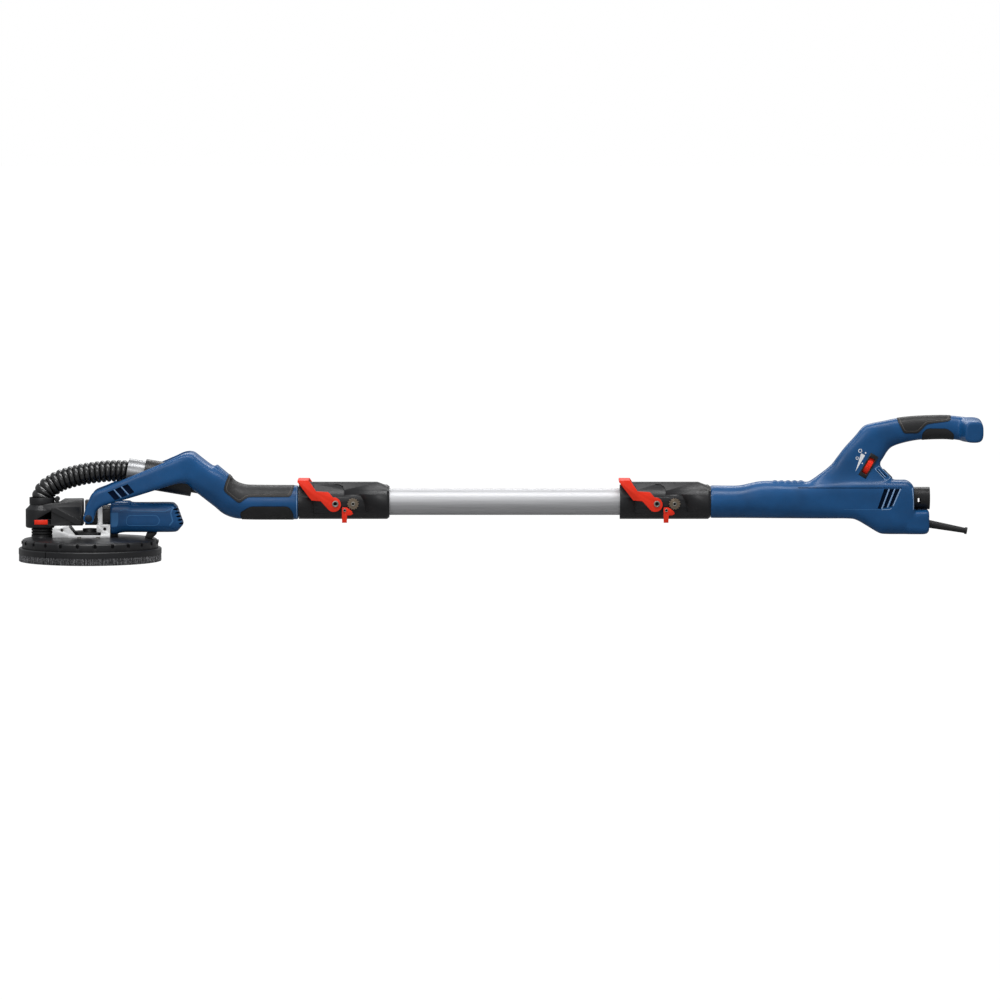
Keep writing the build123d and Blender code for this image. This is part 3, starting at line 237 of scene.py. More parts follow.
dark_steel = drawn_metal("dark_steel", linear(46, 52, 62), 0.42, (1, 0.1, 1), 0.8)
# Lighter blue, painted as highlights on the motor's label rim, facet lines and corner flats and on the rear
# panel's foot line.
painted_highlight_blue = moulded("painted_highlight_blue", linear(60, 112, 164), 0.4, 1100.0, 0.1, 0.1, 0.2)
# Pale blue, painted as highlights along the edges of slots, vents, the switch frame and the casing ends.
painted_edge_highlight = moulded("painted_edge_highlight", linear(134, 165, 202), 0.4, 1100.0, 0.06, 0.08, 0.3)
# Paler rubber, painted as the highlight on the rim line of the upper grips.
painted_rim_highlight = rubbery("painted_rim_highlight", linear(92, 88, 84), 0.6)
print_white = moulded("print_white", linear(238, 240, 242), 0.5)
slot_of = {part["node"]: part["material_slot"] for part in frame["record"]["subparts"]}


def paint(piece, material):
    piece.data.materials.clear()
    piece.data.materials.append(material)


# ---------------------------------------------------------------- mesh helpers

def mesh_object(name, bm, material, smooth_angle=32.0):
    """Object from a bmesh in metres, with faces that meet gently shaded as one surface."""
    bmesh.ops.recalc_face_normals(bm, faces=bm.faces)
    mesh = bpy.data.meshes.new(name)
    bm.to_mesh(mesh)
    bm.free()
    mesh.shade_smooth()
    mesh.set_sharp_from_angle(angle=radians(smooth_angle))
    piece = bpy.data.objects.new(name, mesh)
    bpy.context.collection.objects.link(piece)
    mesh.materials.append(material)
    return piece


def place(piece, body, *nodes, slot=None):
    """Lets the piece ride on a body and stand for the CAD nodes named; the slot is not used."""
    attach(piece, body)
    if nodes:
        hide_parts(*nodes)
    return piece


def applied(piece):
    """The piece's mesh with its modifiers worked in."""
    graph = bpy.context.evaluated_depsgraph_get()
    mesh = bpy.data.meshes.new_from_object(piece.evaluated_get(graph))
    piece.modifiers.clear()
    old = piece.data
    piece.data = mesh
    bpy.data.meshes.remove(old)
    return piece


def softened(node, width=0.7, segments=2, material=None, angle=28.0):
    """A CAD node drawn again with its edges broken by a small round, as a mould or a casting leaves them."""
    source = frame["nodes"][node]
    bm = bmesh.new()
    bm.from_mesh(source.data)
    bmesh.ops.remove_doubles(bm, verts=bm.verts, dist=1e-6)
    bmesh.ops.dissolve_limit(bm, angle_limit=radians(0.6), verts=bm.verts, edges=bm.edges)
    slot = slot_of[node]
    piece = mesh_object(node + "_skin", bm, material or materials[slot])
    bevel = piece.modifiers.new("edges", "BEVEL")
    bevel.width = width * MM
    bevel.segments = segments
    bevel.limit_method = "ANGLE"
    bevel.angle_limit = radians(angle)
    bevel.miter_outer = "MITER_ARC"
    bevel.use_clamp_overlap = True
    bevel.harden_normals = False
    applied(piece)
    piece.data.shade_smooth()
    piece.data.set_sharp_from_angle(angle=radians(40))
    return place(piece, node_body[node], node, slot=slot)


def curve_through(values, steps):
    """Smooth run through rows of numbers (Catmull-Rom), with the given steps between one row and the next."""
    rows = [[float(v) for v in row] for row in values]
    ends = [[2 * a - b for a, b in zip(rows[0], rows[1])], [2 * a - b for a, b in zip(rows[-1], rows[-2])]]
    padded = [ends[0]] + rows + [ends[1]]
    run = []
    for index in range(1, len(padded) - 2):
        before, here, there, after = padded[index - 1:index + 3]
        for step in range(steps):
            t = step / steps
            run.append([
                0.5 * (2 * h + (n - b) * t + (2 * b - 5 * h + 4 * n - a) * t * t
                       + (3 * h - b - 3 * n + a) * t ** 3)
                for b, h, n, a in zip(before, here, there, after)])
    run.append(rows[-1])
    return run


def add_loft(bm, rings):
    """Closed skin over rings of points, with both ends filled."""
    loops = [[bm.verts.new(Vector(point) * MM) for point in ring] for ring in rings]
    for low, high in zip(loops, loops[1:]):
        for index in range(len(low)):
            after = (index + 1) % len(low)
            bm.faces.new((low[index], low[after], high[after], high[index]))
    bm.faces.new(reversed(loops[0]))
    bm.faces.new(loops[-1])


def squared_turn(turn, square):
    """Point of a unit outline at an angle: square 2 is a circle, more is boxier."""
    across = abs(cos(turn)) ** (2 / square) * (1 if cos(turn) > 0 else -1)
    up = abs(sin(turn)) ** (2 / square) * (1 if sin(turn) > 0 else -1)
    return across, up


def section_ring(top, bottom, half_width, square, around):
    """Rounded section between a top and a bottom point of the side view."""
    centre = [(a + b) / 2 for a, b in zip(top, bottom)]
    half = [(a - b) / 2 for a, b in zip(top, bottom)]
    ring = []
    for step in range(around):
        across, up = squared_turn(2 * pi * (step + 0.5) / around, square)
        ring.append((centre[0] + half[0] * up, across * half_width, centre[1] + half[1] * up))
    return ring


def add_body(bm, stations, steps, around):
    """Loft over stations (top x, top z, bottom x, bottom z, half width, squareness)."""
    run = curve_through(stations, steps)
    add_loft(bm, [section_ring(row[0:2], row[2:4], row[4], row[5], around) for row in run])


def add_plate(bm, points, y_low, y_high):
    """Side outline in (x, z) as a flat plate between two values of y."""
    add_loft(bm, [[(x, y, z) for x, z in points] for y in (y_low, y_high)])


def add_prism(bm, points, z_low, z_high):
    """Plan outline in (x, y) as an upright block between two heights."""
    add_loft(bm, [[(x, y, z) for x, y in points] for z in (z_low, z_high)])


def add_rod(bm, start, end, radius, end_radius=None, around=32):
    """Round rod, or a cone where the end radius differs."""
    start, end = Vector(start), Vector(end)
    turn = (end - start).to_track_quat("Z", "Y").to_matrix().to_4x4()
    size = (end - start).length
    made = bmesh.ops.create_cone(
        bm, cap_ends=True, segments=around, radius1=radius * MM,
        radius2=(radius if end_radius is None else end_radius) * MM, depth=size * MM)
    bmesh.ops.transform(bm, matrix=Matrix.Translation((start + end) / 2 * MM) @ turn, verts=made["verts"])


def islands(node):
    """Boxes of a CAD node's separate solids, in millimetres: (low corner, high corner) for each."""
    bm = bmesh.new()
    bm.from_mesh(frame["nodes"][node].data)
    bmesh.ops.remove_doubles(bm, verts=bm.verts, dist=1e-6)
    seen, found = set(), []
    for vertex in bm.verts:
        if vertex in seen:
            continue
        stack, members = [vertex], []
        seen.add(vertex)
        while stack:
            here = stack.pop()
            members.append(here.co)
            for edge in here.link_edges:
                there = edge.other_vert(here)
                if there not in seen:
                    seen.add(there)
                    stack.append(there)
        low = [min(co[axis] for co in members) / MM for axis in range(3)]
        high = [max(co[axis] for co in members) / MM for axis in range(3)]
        found.append((low, high))
    bm.free()
    return found


def screw_wells(bm, node, clearance=0.4, reach=60.0):
    """Round wells for the cross screws in a CAD node, from below the head to outside the skin."""
    sunk = 3.2
    for low, high in islands(node):
        radius = (high[0] - low[0]) / 2 + clearance
        x, z = (low[0] + high[0]) / 2, (low[2] + high[2]) / 2
        side = 1 if abs(high[1]) > abs(low[1]) else -1
        start = side * (max(abs(high[1]), abs(low[1])) - sunk)
        add_rod(bm, (x, start, z), (x, side * reach, z), radius)


whole_skins = {}


def joined(name, bm, material, voxel=2.0, rounds=6, hollow=None):
    """The separate forms in a bmesh run into one skin, with soft hollows where they meet."""
    piece = mesh_object(name, bm, material)

    def remeshed():
        remesh = piece.modifiers.new("join", "REMESH")
        remesh.mode = "VOXEL"
        remesh.voxel_size = voxel * MM

    remeshed()
    if hollow is not None:
        applied(piece)
        trim(piece, hollow, "DIFFERENCE")
        remeshed()
    smooth = piece.modifiers.new("soften", "SMOOTH")
    smooth.factor = 0.5
    smooth.iterations = rounds
    applied(piece)
    piece.data.shade_smooth()
    whole_skins[name] = piece.data.copy()
    return piece


def trim(piece, bm, operation, material=None):
    """Cuts the closed forms out of the piece, or keeps what lies in them; cut faces may be coloured."""
    cutter = mesh_object(piece.name + "_cutter", bm, material or piece.data.materials[0])
    cut = piece.modifiers.new("cut", "BOOLEAN")
    cut.operation = operation
    cut.object = cutter
    cut.solver = "EXACT"
    cut.material_mode = "TRANSFER"
    applied(piece)
    bpy.data.objects.remove(cutter)
    piece.data.shade_smooth()
    piece.data.set_sharp_from_angle(angle=radians(38))
    return piece


def moved_skin(form, name, swell):
    """Copy of a joined form as it was before any cut, with its skin moved out by some millimetres."""
    mesh = whole_skins[form.name].copy()
    normals = [vertex.normal.copy() for vertex in mesh.vertices]
    for vertex, normal in zip(mesh.vertices, normals):
        vertex.co += normal * swell * MM
    twin = bpy.data.objects.new(name, mesh)
    bpy.context.collection.objects.link(twin)
    return twin


def form_of(piece):
    """Bmesh copy of a piece's skin, and the piece is removed."""
    bm = bmesh.new()
    bm.from_mesh(piece.data)
    bpy.data.objects.remove(piece)
    return bm


# ---------------------------------------------------------------- what is cut into a casing

outline_reach = 60.0
hole_reach = outline_reach + 2
middle_gap = 0.2

# Heights above and depths below the casing's skin, and insets from a pad's edge.
print_height, print_depth = 0.14, 0.5
pad_height, pad_depth, bed_depth, bed_margin = 0.8, 1.8, 2.0, 0.6
rim_insets, rim_floor = (3.2, 4.3), 0.35


def ribbon(points, width):
    """Narrow closed outline along a run of points in the side view."""
    left, right = [], []
    for index, here in enumerate(points):
        before, after = Vector(points[max(index - 1, 0)]), Vector(points[min(index + 1, len(points) - 1)])
        across = (after - before).normalized().orthogonal() * width / 2
        left.append(tuple(Vector(here) + across))
        right.append(tuple(Vector(here) - across))
    return left + list(reversed(right))


def rounded(points, radius, steps=5):
    """Closed outline with each corner turned by an arc-like curve of about the given radius."""
    smooth = []
    for index, here in enumerate(points):
        here = Vector(here)
        before, after = Vector(points[index - 1]), Vector(points[(index + 1) % len(points)])
        reach = min(radius, (before - here).length * 0.48, (after - here).length * 0.48)
        first = here + (before - here).normalized() * reach
        last = here + (after - here).normalized() * reach
        for step in range(steps + 1):
            t = step / steps
            smooth.append(tuple(first * (1 - t) ** 2 + here * 2 * t * (1 - t) + last * t * t))
    return smooth


def inset_outline(points, depth):
    """Closed outline moved inwards by the depth, with its corners kept sharp."""
    area = sum(a[0] * b[1] - b[0] * a[1] for a, b in zip(points, points[1:] + points[:1]))
    side = 1 if area > 0 else -1
    moved = []
    for index, here in enumerate(points):
        before, after = Vector(points[index - 1]), Vector(points[(index + 1) % len(points)])
        here = Vector(here)
        first, second = (here - before).normalized(), (after - here).normalized()
        inward = Vector((-first.y - second.y, first.x + second.x)) * side
        inward.normalize()
        sine = max(0.35, inward.dot(Vector((-first.y, first.x)) * side))
        moved.append(tuple(here + inward * depth / sine))
    return moved


def disc_outline(x, z, radius, steps=28):
    turns = [2 * pi * step / steps for step in range(steps)]
    return [(x + radius * cos(turn), z + radius * sin(turn)) for turn in turns]


def slanted_rectangle(middle, along, across, half_length, near, far):
    """Corners of a turned rectangle: half_length each way along, and from near to far across."""
    spans = ((half_length, far), (half_length, near), (-half_length, near), (-half_length, far))
    return [tuple(middle + along * a + across * b) for a, b in spans]


def side_plates(outlines, sides, low, reach=outline_reach):
    """Side outlines as plates on the given sides of y, from a depth to well outside the skin."""
    bm = bmesh.new()
    for points in outlines:
        for side in sides:
            first, last = sorted((side * low, side * reach))
            add_plate(bm, points, first, last)
    return bm


def recess(form, outlines, sides, depth, material=None, low=2.0):
    """Cuts the side outlines into the form to an even depth below its skin, on the given sides of y."""
    plates = side_plates(outlines, sides, low)
    bed = mesh_object(form.name + "_bed", plates, material or form.data.materials[0])
    trim(bed, form_of(moved_skin(form, form.name + "_core", -depth)), "DIFFERENCE")
    return trim(form, form_of(bed), "DIFFERENCE", material)


def inlay(name, form, outlines, body, holes=(), material=None, sides=(1, -1)):
    """Thin edge line painted pale as a highlight, or print, a hair over a casing's skin, with what lies in
    the holes left out.
    """
    line = moved_skin(form, name, print_height)
    paint(line, material or painted_edge_highlight)
    trim(line, side_plates(outlines, sides, 6.0), "INTERSECT")
    if holes:
        trim(line, side_plates(holes, sides, 5.0, hole_reach), "DIFFERENCE")
    trim(line, form_of(moved_skin(form, name + "_core", -print_depth)), "DIFFERENCE")
    place(line, body, slot="blue_plastic")


def grip(name, form, outlines, corner, body, node, rimmed=0):
    """Soft pads a little proud of a casing, and their beds in it; the first ones have a rim line painted pale
    as a highlight.
    """
    sides = (1, -1)
    pad = moved_skin(form, name, pad_height)
    paint(pad, materials["black_rubber"])
    trim(pad, side_plates([rounded(points, corner) for points in outlines], sides, middle_gap), "INTERSECT")
    trim(pad, form_of(moved_skin(form, name + "_core", -pad_depth)), "DIFFERENCE")
    for points in outlines[:rimmed]:
        outer, inner = (rounded(inset_outline(points, inset), corner) for inset in rim_insets)
        line = mesh_object(name + "_line", side_plates([outer], sides, 2.0), painted_rim_highlight)
        trim(line, side_plates([inner], sides, 1.0, hole_reach), "DIFFERENCE")
        trim(line, form_of(moved_skin(form, name + "_floor", rim_floor)), "DIFFERENCE")
        trim(pad, form_of(line), "DIFFERENCE", painted_rim_highlight)
    beds = [rounded(inset_outline(points, -bed_margin), corner) for points in outlines]
    recess(form, beds, sides, bed_depth, low=middle_gap)
    place(pad, body, node, slot="black_rubber")


def halves(piece, body, nodes, gap=0.15):
    """Splits a casing at y = 0 into its left and right shells, a hair apart along the seam."""
    for node, side in nodes:
        bm = bmesh.new()
        bm.from_mesh(piece.data)
        geometry = list(bm.verts) + list(bm.edges) + list(bm.faces)
        cut = bmesh.ops.bisect_plane(
            bm, geom=geometry, plane_co=(0, side * gap * MM, 0), plane_no=(0, side, 0), clear_inner=True)
        edges = [item for item in cut["geom_cut"] if isinstance(item, bmesh.types.BMEdge)]
        bmesh.ops.holes_fill(bm, edges=edges, sides=0)
        materials_here = list(piece.data.materials)
        shell = mesh_object(node + "_skin", bm, materials_here[0], 38)
        for material in materials_here[1:]:
            shell.data.materials.append(material)
        place(shell, body, node, slot=slot_of[node])
    bpy.data.objects.remove(piece)


# ---------------------------------------------------------------- clamps

def grooved_collar(name):
    """Clamp collar with its moulding seam, the edge of the lever's bay and a lip line at its mouth."""
    node = f"{name}_clamp_collar"
    piece = softened(node, 1.1, 3)
    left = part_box(node)[0][0] / MM
    seam = [(62.6, 133.4), (70.7, 132.8), (76.7, 130.1), (79, 125.1), (79.4, 111.5)]
    bay = [(107.4, 116), (112.2, 106.7), (116.8, 94.7), (118.2, 85.3)]
    lip = [(26.5, 133), (26.5, 71)]
    widths = ((seam, 1.1), (bay, 1.3), (lip, 0.9))
    lines = [ribbon([(left + x, z) for x, z in run], width) for run, width in widths]
    bed = mesh_object(name + "_grooves", side_plates(lines, (-1,), 6.0), materials["black_plastic"])
    core = bmesh.new()
    floor_radius = 29.1
    add_rod(core, (left - 20, 0, pole_z), (left + 160, 0, pole_z), floor_radius, around=96)
    trim(bed, core, "DIFFERENCE")
    trim(piece, form_of(bed), "DIFFERENCE")


def painted_socket_shade(name, body):
    """Painted shade: dark discs on the floors of the driver sockets in the heads of a clamp's studs."""
    bm = bmesh.new()
    left_head_y = 35
    low_depth, high_depth, share = 0.95, 0.5, 0.56
    for low, high in islands(f"{name}_clamp_studs"):
        side = 1 if high[1] > left_head_y else -1
        outer = high[1] if side > 0 else low[1]
        x, z = (low[0] + high[0]) / 2, (low[2] + high[2]) / 2
        radius = (high[0] - low[0]) / 2
        start, end = (x, outer - side * low_depth, z), (x, outer - side * high_depth, z)
        add_rod(bm, start, end, radius * share, around=24)
    place(mesh_object(f"{name}_painted_socket_shade", bm, shade_and_joint_dark), body, slot="black_plastic")


# ---------------------------------------------------------------- hose

hose_radius = 19.0
hose_foot_z = 98.0
hose_bend_z = 103.0
hose_bend_radius = 30.0
hose_bend_angle = 62.0
hose_climb = [(-49, 140), (-12, 150.2), (29.8, 155.6), (56, 156), (75, 154.6)]
hose_split_x = -70.0
rib_pitch = 9.2
rib_depth = 3.4


def hose_path():
    """Centre line of the hose from the elbow to the neck's cuff, closely stepped, with its length so far."""
    points = [(outlet_x, hose_foot_z)]
    turns = 14
    for step in range(turns + 1):
        turn = radians(hose_bend_angle) * step / turns
        x, z = outlet_x + hose_bend_radius * (1 - cos(turn)), hose_bend_z + hose_bend_radius * sin(turn)
        points.append((x, z))
    steps = 24
    climb = curve_through(points[-2:] + hose_climb, steps)
    points += [(x, z) for x, z in climb[steps + 1:]]
    length, run = 0.0, [(0.0, *points[0])]
    for (x0, z0), (x1, z1) in zip(points, points[1:]):
        length += sqrt((x1 - x0) ** 2 + (z1 - z0) ** 2)
        run.append((length, x1, z1))
    return run


def point_at(run, length):
    """Place and slope of the hose's centre line at a length along it."""
    for (low, x0, z0), (high, x1, z1) in zip(run, run[1:]):
        if length <= high:
            share = (length - low) / (high - low)
            return x0 + (x1 - x0) * share, z0 + (z1 - z0) * share, atan2(z1 - z0, x1 - x0)
    return run[-1][1], run[-1][2], atan2(run[-1][2] - run[-2][2], run[-1][1] - run[-2][1])


def corrugated(name, run, start, stop, node):
    """One length of the ribbed hose: rounded crests with narrow valleys between them."""
    around, rings_per_rib = 44, 10
    step = rib_pitch / rings_per_rib
    rings = []
    for index in range(int(round((stop - start) / step)) + 1):
        length = start + index * step
        x, z, lean = point_at(run, length)
        wave = abs(sin(pi * length / rib_pitch)) ** 0.55
        radius = hose_radius - rib_depth * (1 - wave)
        ring = []
        for turn_step in range(around):
            turn = 2 * pi * turn_step / around
            up = radius * sin(turn)
            ring.append((x - up * sin(lean), radius * cos(turn), z + up * cos(lean)))
        rings.append(ring)
    bm = bmesh.new()
    add_loft(bm, rings)
    piece = mesh_object(name, bm, materials["hose_plastic"], 60)
    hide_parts(node)
    return piece


def hose():
    """Ribbed hose in two lengths that meet between two ribs, with the gimbal between them."""
    run = hose_path()
    split = next(length for length, x, z in run if x >= hose_split_x)
    split = round(split / rib_pitch) * rib_pitch
    bend = corrugated("hose_front_bend", run, 2.0, split, "hose_bend")
    rear_length = round((run[-1][0] - split) / rib_pitch) * rib_pitch
    rear = corrugated("hose_rear_run", run, split, split + rear_length - 2, "hose_run")
    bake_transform(rear)
    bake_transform(bend)


# ---------------------------------------------------------------- brush skirt

seam_angle = 124.9
ring_tufts_from, segment_tufts_to = 55.4, 54.6

tuft_rows = (118.6, 120.4, 122.2, 123.9)
tufts_in_a_row = 300
tuft_foot_z, tuft_tip_z = 11.6, -1.0
tuft_radius, tuft_tip_radius = 0.62, 0.5


def ring_springs():
    """Springs between shroud and brush ring."""
    bm = bmesh.new()
    bm.from_mesh(frame["nodes"]["ring_springs"].data)
    bmesh.ops.remove_doubles(bm, verts=bm.verts, dist=1e-6)
    piece = mesh_object("ring_springs_skin", bm, materials["steel"])
    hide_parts("ring_springs")
    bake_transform(piece)


def ring_seams():
    """Dark joints at the two ends of the brush ring's removable front segment."""
    bm = bmesh.new()
    low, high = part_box("brush_ring")
    radius = high[0] / MM
    for side in (1, -1):
        turn = radians(side * seam_angle)
        middle = Vector((radius * cos(turn), radius * sin(turn)))
        along, out = Vector((-sin(turn), cos(turn))), Vector((cos(turn), sin(turn)))
        corners = slanted_rectangle(middle, along, out, 0.8, -1.5, 0.12)
        add_prism(bm, corners, low[2] / MM + 12, high[2] / MM - 1)
    place(mesh_object("ring_seams", bm, shade_and_joint_dark), "brush_skirt", slot="black_plastic")


def tufts(name, body, keep):
    """Rows of stiff fibre tufts under the brush holder; keep says which angles, in degrees, have them."""
    picker = Random(7)
    bm = bmesh.new()
    for row, ring in enumerate(tuft_rows):
        for index in range(tufts_in_a_row):
            angle = (index + 0.5 * (row % 2)) * 360 / tufts_in_a_row
            if not keep(angle):
                continue
            turn = radians(angle + picker.uniform(-0.25, 0.25))
            lean, twist = picker.uniform(-0.5, 0.5), picker.uniform(-0.6, 0.6)
            foot = Vector((ring * cos(turn), ring * sin(turn), tuft_foot_z))
            tip = Vector(((ring + lean) * cos(turn) - twist * sin(turn),
                          (ring + lean) * sin(turn) + twist * cos(turn),
                          tuft_tip_z + picker.uniform(0, 0.7)))
            add_rod(bm, foot, tip, tuft_radius, tuft_tip_radius, 5)
    place(mesh_object(name, bm, fibre), body, slot="black_rubber")


# ---------------------------------------------------------------- suction housing and shroud

suction_half_width = 27.0
strut_inner, strut_outer = 24, 28.6


def suction_housing():
    """Housing of the dust outlet with its slanting strut and the lines of its mould."""
    piece = softened("suction_housing", 1.0)
    strut = bmesh.new()
    outline = [(-66, 93.5), (-58, 93.5), (-13.5, 70), (-13.5, 63.4), (-22, 62.8), (-66, 86)]
    for side in (1, -1):
        first, last = sorted((side * strut_inner, side * strut_outer))
        add_plate(strut, outline, first, last)
    rib = mesh_object("suction_strut", strut, materials["black_plastic"])
    edges = rib.modifiers.new("edges", "BEVEL")
    edges.width = 0.9 * MM
    edges.segments = 3
    applied(rib)
    place(rib, "head", slot="black_plastic")
    lines = [ribbon([(-55, 98.5), (-44, 103.6), (-14.5, 104)], 0.9), ribbon([(-16, 104), (-16, 74)], 0.8)]
    trim(piece, side_plates(lines, (-1, 1), suction_half_width - 0.6), "DIFFERENCE")


def shroud_notches():
    """Painted shade: dark rods in the mouths of the notches round the shroud's upper rim."""
    bm = bmesh.new()
    count = 24
    rim_radius, low, high = 118.2, 29.2, 34.6
    for step in range(count):
        turn = 2 * pi * (step + 0.5) / count
        x, y = rim_radius * cos(turn), rim_radius * sin(turn)
        add_rod(bm, (x, y, low), (x, y, high), 2.2, around=16)
    place(mesh_object("shroud_notch_painted_shade", bm, shade_and_joint_dark), "head", slot="black_plastic")


# ---------------------------------------------------------------- neck

fork_outer, fork_inner, fork_slot_end = 46.0, 34.0, 176.0
fork_eye_radius = 9.8

neck_stations = [
    (-8.5, 84, 11.5, 79.5, 45.6, 7), (-5.5, 96, 14, 87.5, 45.8, 7), (-1.2, 105.5, 19.5, 93.5, 46, 7.5),
    (7.2, 120.8, 29.5, 98.2, 46, 8), (30, 130.8, 45, 102.6, 46, 8), (70, 147.9, 82, 113.4, 46, 8),
    (121.5, 169.8, 122, 125.6, 45.8, 7), (150, 182.5, 149.5, 133.4, 44.5, 6),
    (166.3, 189.2, 162, 135.2, 43, 5.2), (181, 189.6, 171.5, 133.4, 41, 4.4),
    (194, 180.8, 178.7, 125.5, 39.5, 3.7), (213.7, 166.4, 187, 118.4, 37, 3.1),
    (231, 158.4, 203, 105.5, 34.8, 2.7), (246, 146.6, 219, 92.8, 32.6, 2.4),
    (256.5, 137.4, 234, 80.6, 31, 2.2), (272, 132.2, 254, 73.2, 30.2, 2.05),
    (290, 131.2, 280, 71.4, 29.8, 2), (330, 130.8, 330, 71.2, 29.8, 2), (365, 130.8, 365, 71.2, 29.8, 2),
]


def fork_slot():
    """Space between the fork's arms, round at its rear end."""
    plan = [(-30, fork_inner), (-30, -fork_inner)]
    steps = 24
    for step in range(steps + 1):
        turn = pi * (step / steps - 0.5)
        plan.append((fork_slot_end - fork_inner * (1 - cos(turn)), fork_inner * sin(turn)))
    bm = bmesh.new()
    add_prism(bm, plan, 40, 240)
    return bm


def neck():
    """Neck casing: fork arms with their eyes, knee, grips, side slots painted dark as shade with edge lines
    painted pale as highlights, and the bed of the duct socket.
    """
    bm = bmesh.new()
    add_body(bm, neck_stations, 5, 64)
    for side in (1, -1):
        start, end = (0, side * (fork_inner - 0.2), pivot_z), (0, side * (fork_outer - 0.2), pivot_z)
        add_rod(bm, start, end, fork_eye_radius, around=40)
    ledge = [(216, 160), (222, 167.2), (249, 144.6), (244, 137)]
    add_plate(bm, ledge, -21, 21)
    form = joined("neck_form", bm, materials["blue_plastic"], 1.8, 3, fork_slot())

    upper = [(250, 165), (361, 165), (358, 131), (352, 112.5), (277, 112.5), (262, 101), (235, 123.5),
             (238, 136)]
    lower = [(269, 60), (263, 84), (282, 95.4), (348, 95.4), (356, 84), (356, 60)]
    grip("neck_grip_pads", form, (upper, lower), 6, "neck", "neck_grips", 1)

    slots = []
    for step in range(3):
        x, z = 33.5 + 12.6 * step, 118.6 + 5.2 * step
        slots.append([(x, z + 3), (x + 9.9, z + 7.3), (x + 21.7, z - 7.3), (x + 12.6, z - 11)])
    # Edge lines painted pale as highlights beside the slots and at the neck's end.
    edges = []
    for top, _, _, foot in slots[1:]:
        edges.append(ribbon([(top[0] - 1.4, top[1] - 0.3), (top[0] + 11.2, foot[1] - 0.3)], 1.5))
    edges.append(ribbon([(362.6, 134), (362.6, 68)], 1.1))
    inlay("neck_edge_lines", form, edges, "neck")
    # The slots' cut faces are painted dark blue as shade.
    trim(form, side_plates(slots, (1, -1), fork_outer - 3), "DIFFERENCE", painted_recess_shade)
    bed = bmesh.new()
    slope = radians(9.5)
    start = Vector((95, 0, 151.3))
    bed_length, bed_radius = 86.5, 26.4
    add_rod(bed, start, start + Vector((cos(slope), 0, -sin(slope))) * bed_length, bed_radius, around=48)
    trim(form, bed, "DIFFERENCE", materials["black_plastic"])
    cuts = bmesh.new()
    screw_wells(cuts, "neck_screws")
    screw_wells(cuts, "fork_pivot_pins", 0.3, 70)
    add_rod(cuts, (350, 0, pole_z), (380, 0, pole_z), 26)
    trim(form, cuts, "DIFFERENCE")
    halves(form, "neck", (("neck_housing_left", 1), ("neck_housing_right", -1)))


# ---------------------------------------------------------------- motor housing

motor_stations = [
    (36.7, 99.5, 36.7, 46, 26.6, 4), (39.5, 103.2, 39.5, 45.6, 27.6, 4), (44, 104, 44, 45.6, 28, 4),
    (58, 104, 58, 48.8, 28, 3.8), (70, 103.8, 70, 49.2, 28, 3.6), (75, 101.4, 75, 49.2, 27.9, 3.6),
    (110, 101.3, 110, 49.2, 27.8, 3.6), (143, 101.3, 140, 49.3, 27.4, 3.6),
    (148.5, 99, 146, 49.5, 27, 3.6), (153, 94.5, 151, 50, 26.4, 3.4), (157, 83.6, 154.6, 52, 25.6, 3.4),
    (161, 72.6, 158.8, 57, 23.5, 3.2), (163.6, 66, 162.6, 61.4, 20, 3),
]


def motor_housing():
    """Motor casing with its label rim, facet lines and corner flats painted lighter as highlights, and slots
    at the nose painted dark as shade.
    """
    bm = bmesh.new()
    add_body(bm, motor_stations, 3, 56)
    form = joined("motor_form", bm, materials["blue_plastic"], 1.4, 4)
    label = [(66, 80.5), (119, 80.5), (124.5, 71), (119, 61.6), (68, 61.6), (64, 66)]
    field = rounded(inset_outline(label, 1.1), 6)
    # Label rim and facet lines painted lighter as highlights.
    inlay("motor_label_rim", form, [rounded(label, 7)], "head", [field], painted_highlight_blue)
    inlay("motor_edge_lines", form, [
        ribbon([(54, 88.4), (62, 90.6), (78, 88), (132, 86.4), (143, 92)], 1.3),
        ribbon([(140, 62), (146, 70), (142.6, 84), (146.4, 95)], 2.4)], "head", material=painted_highlight_blue)
    grooves = ([(37, 90), (43, 88.4), (50, 85.6), (150, 85.6)],
               [(37, 56.5), (44, 57), (50, 60), (136, 60), (150, 55)])
    recess(form, [ribbon(points, 0.9) for points in grooves], (1, -1), 0.7, low=12.0)
    # Corner flats whose cut faces are painted lighter as a highlight.
    corners = bmesh.new()
    plan = [(30, 22), (30, 40), (53, 40), (53, 28.4), (38.4, 25.6), (36, 22)]
    for side in (1, -1):
        add_prism(corners, [(x, side * y) for x, y in plan], 60.5, 85)
    trim(form, corners, "DIFFERENCE", painted_highlight_blue)
    # Nose slots whose cut faces are painted dark blue as shade.
    vents = []
    for step in range(5):
        x, z = 146.4 + 2.4 * step, 90.4 - 6.2 * step
        vents.append([(x, z - 0.6), (x + 4, z - 1.6), (x + 24, z - 1), (x + 24, z + 2.2), (x + 3, z + 1.6)])
    trim(form, side_plates(vents, (1, -1), 7.0), "DIFFERENCE", painted_recess_shade)
    halves(form, "head", (("motor_housing_left", 1), ("motor_housing_right", -1)))


# ---------------------------------------------------------------- rear housing

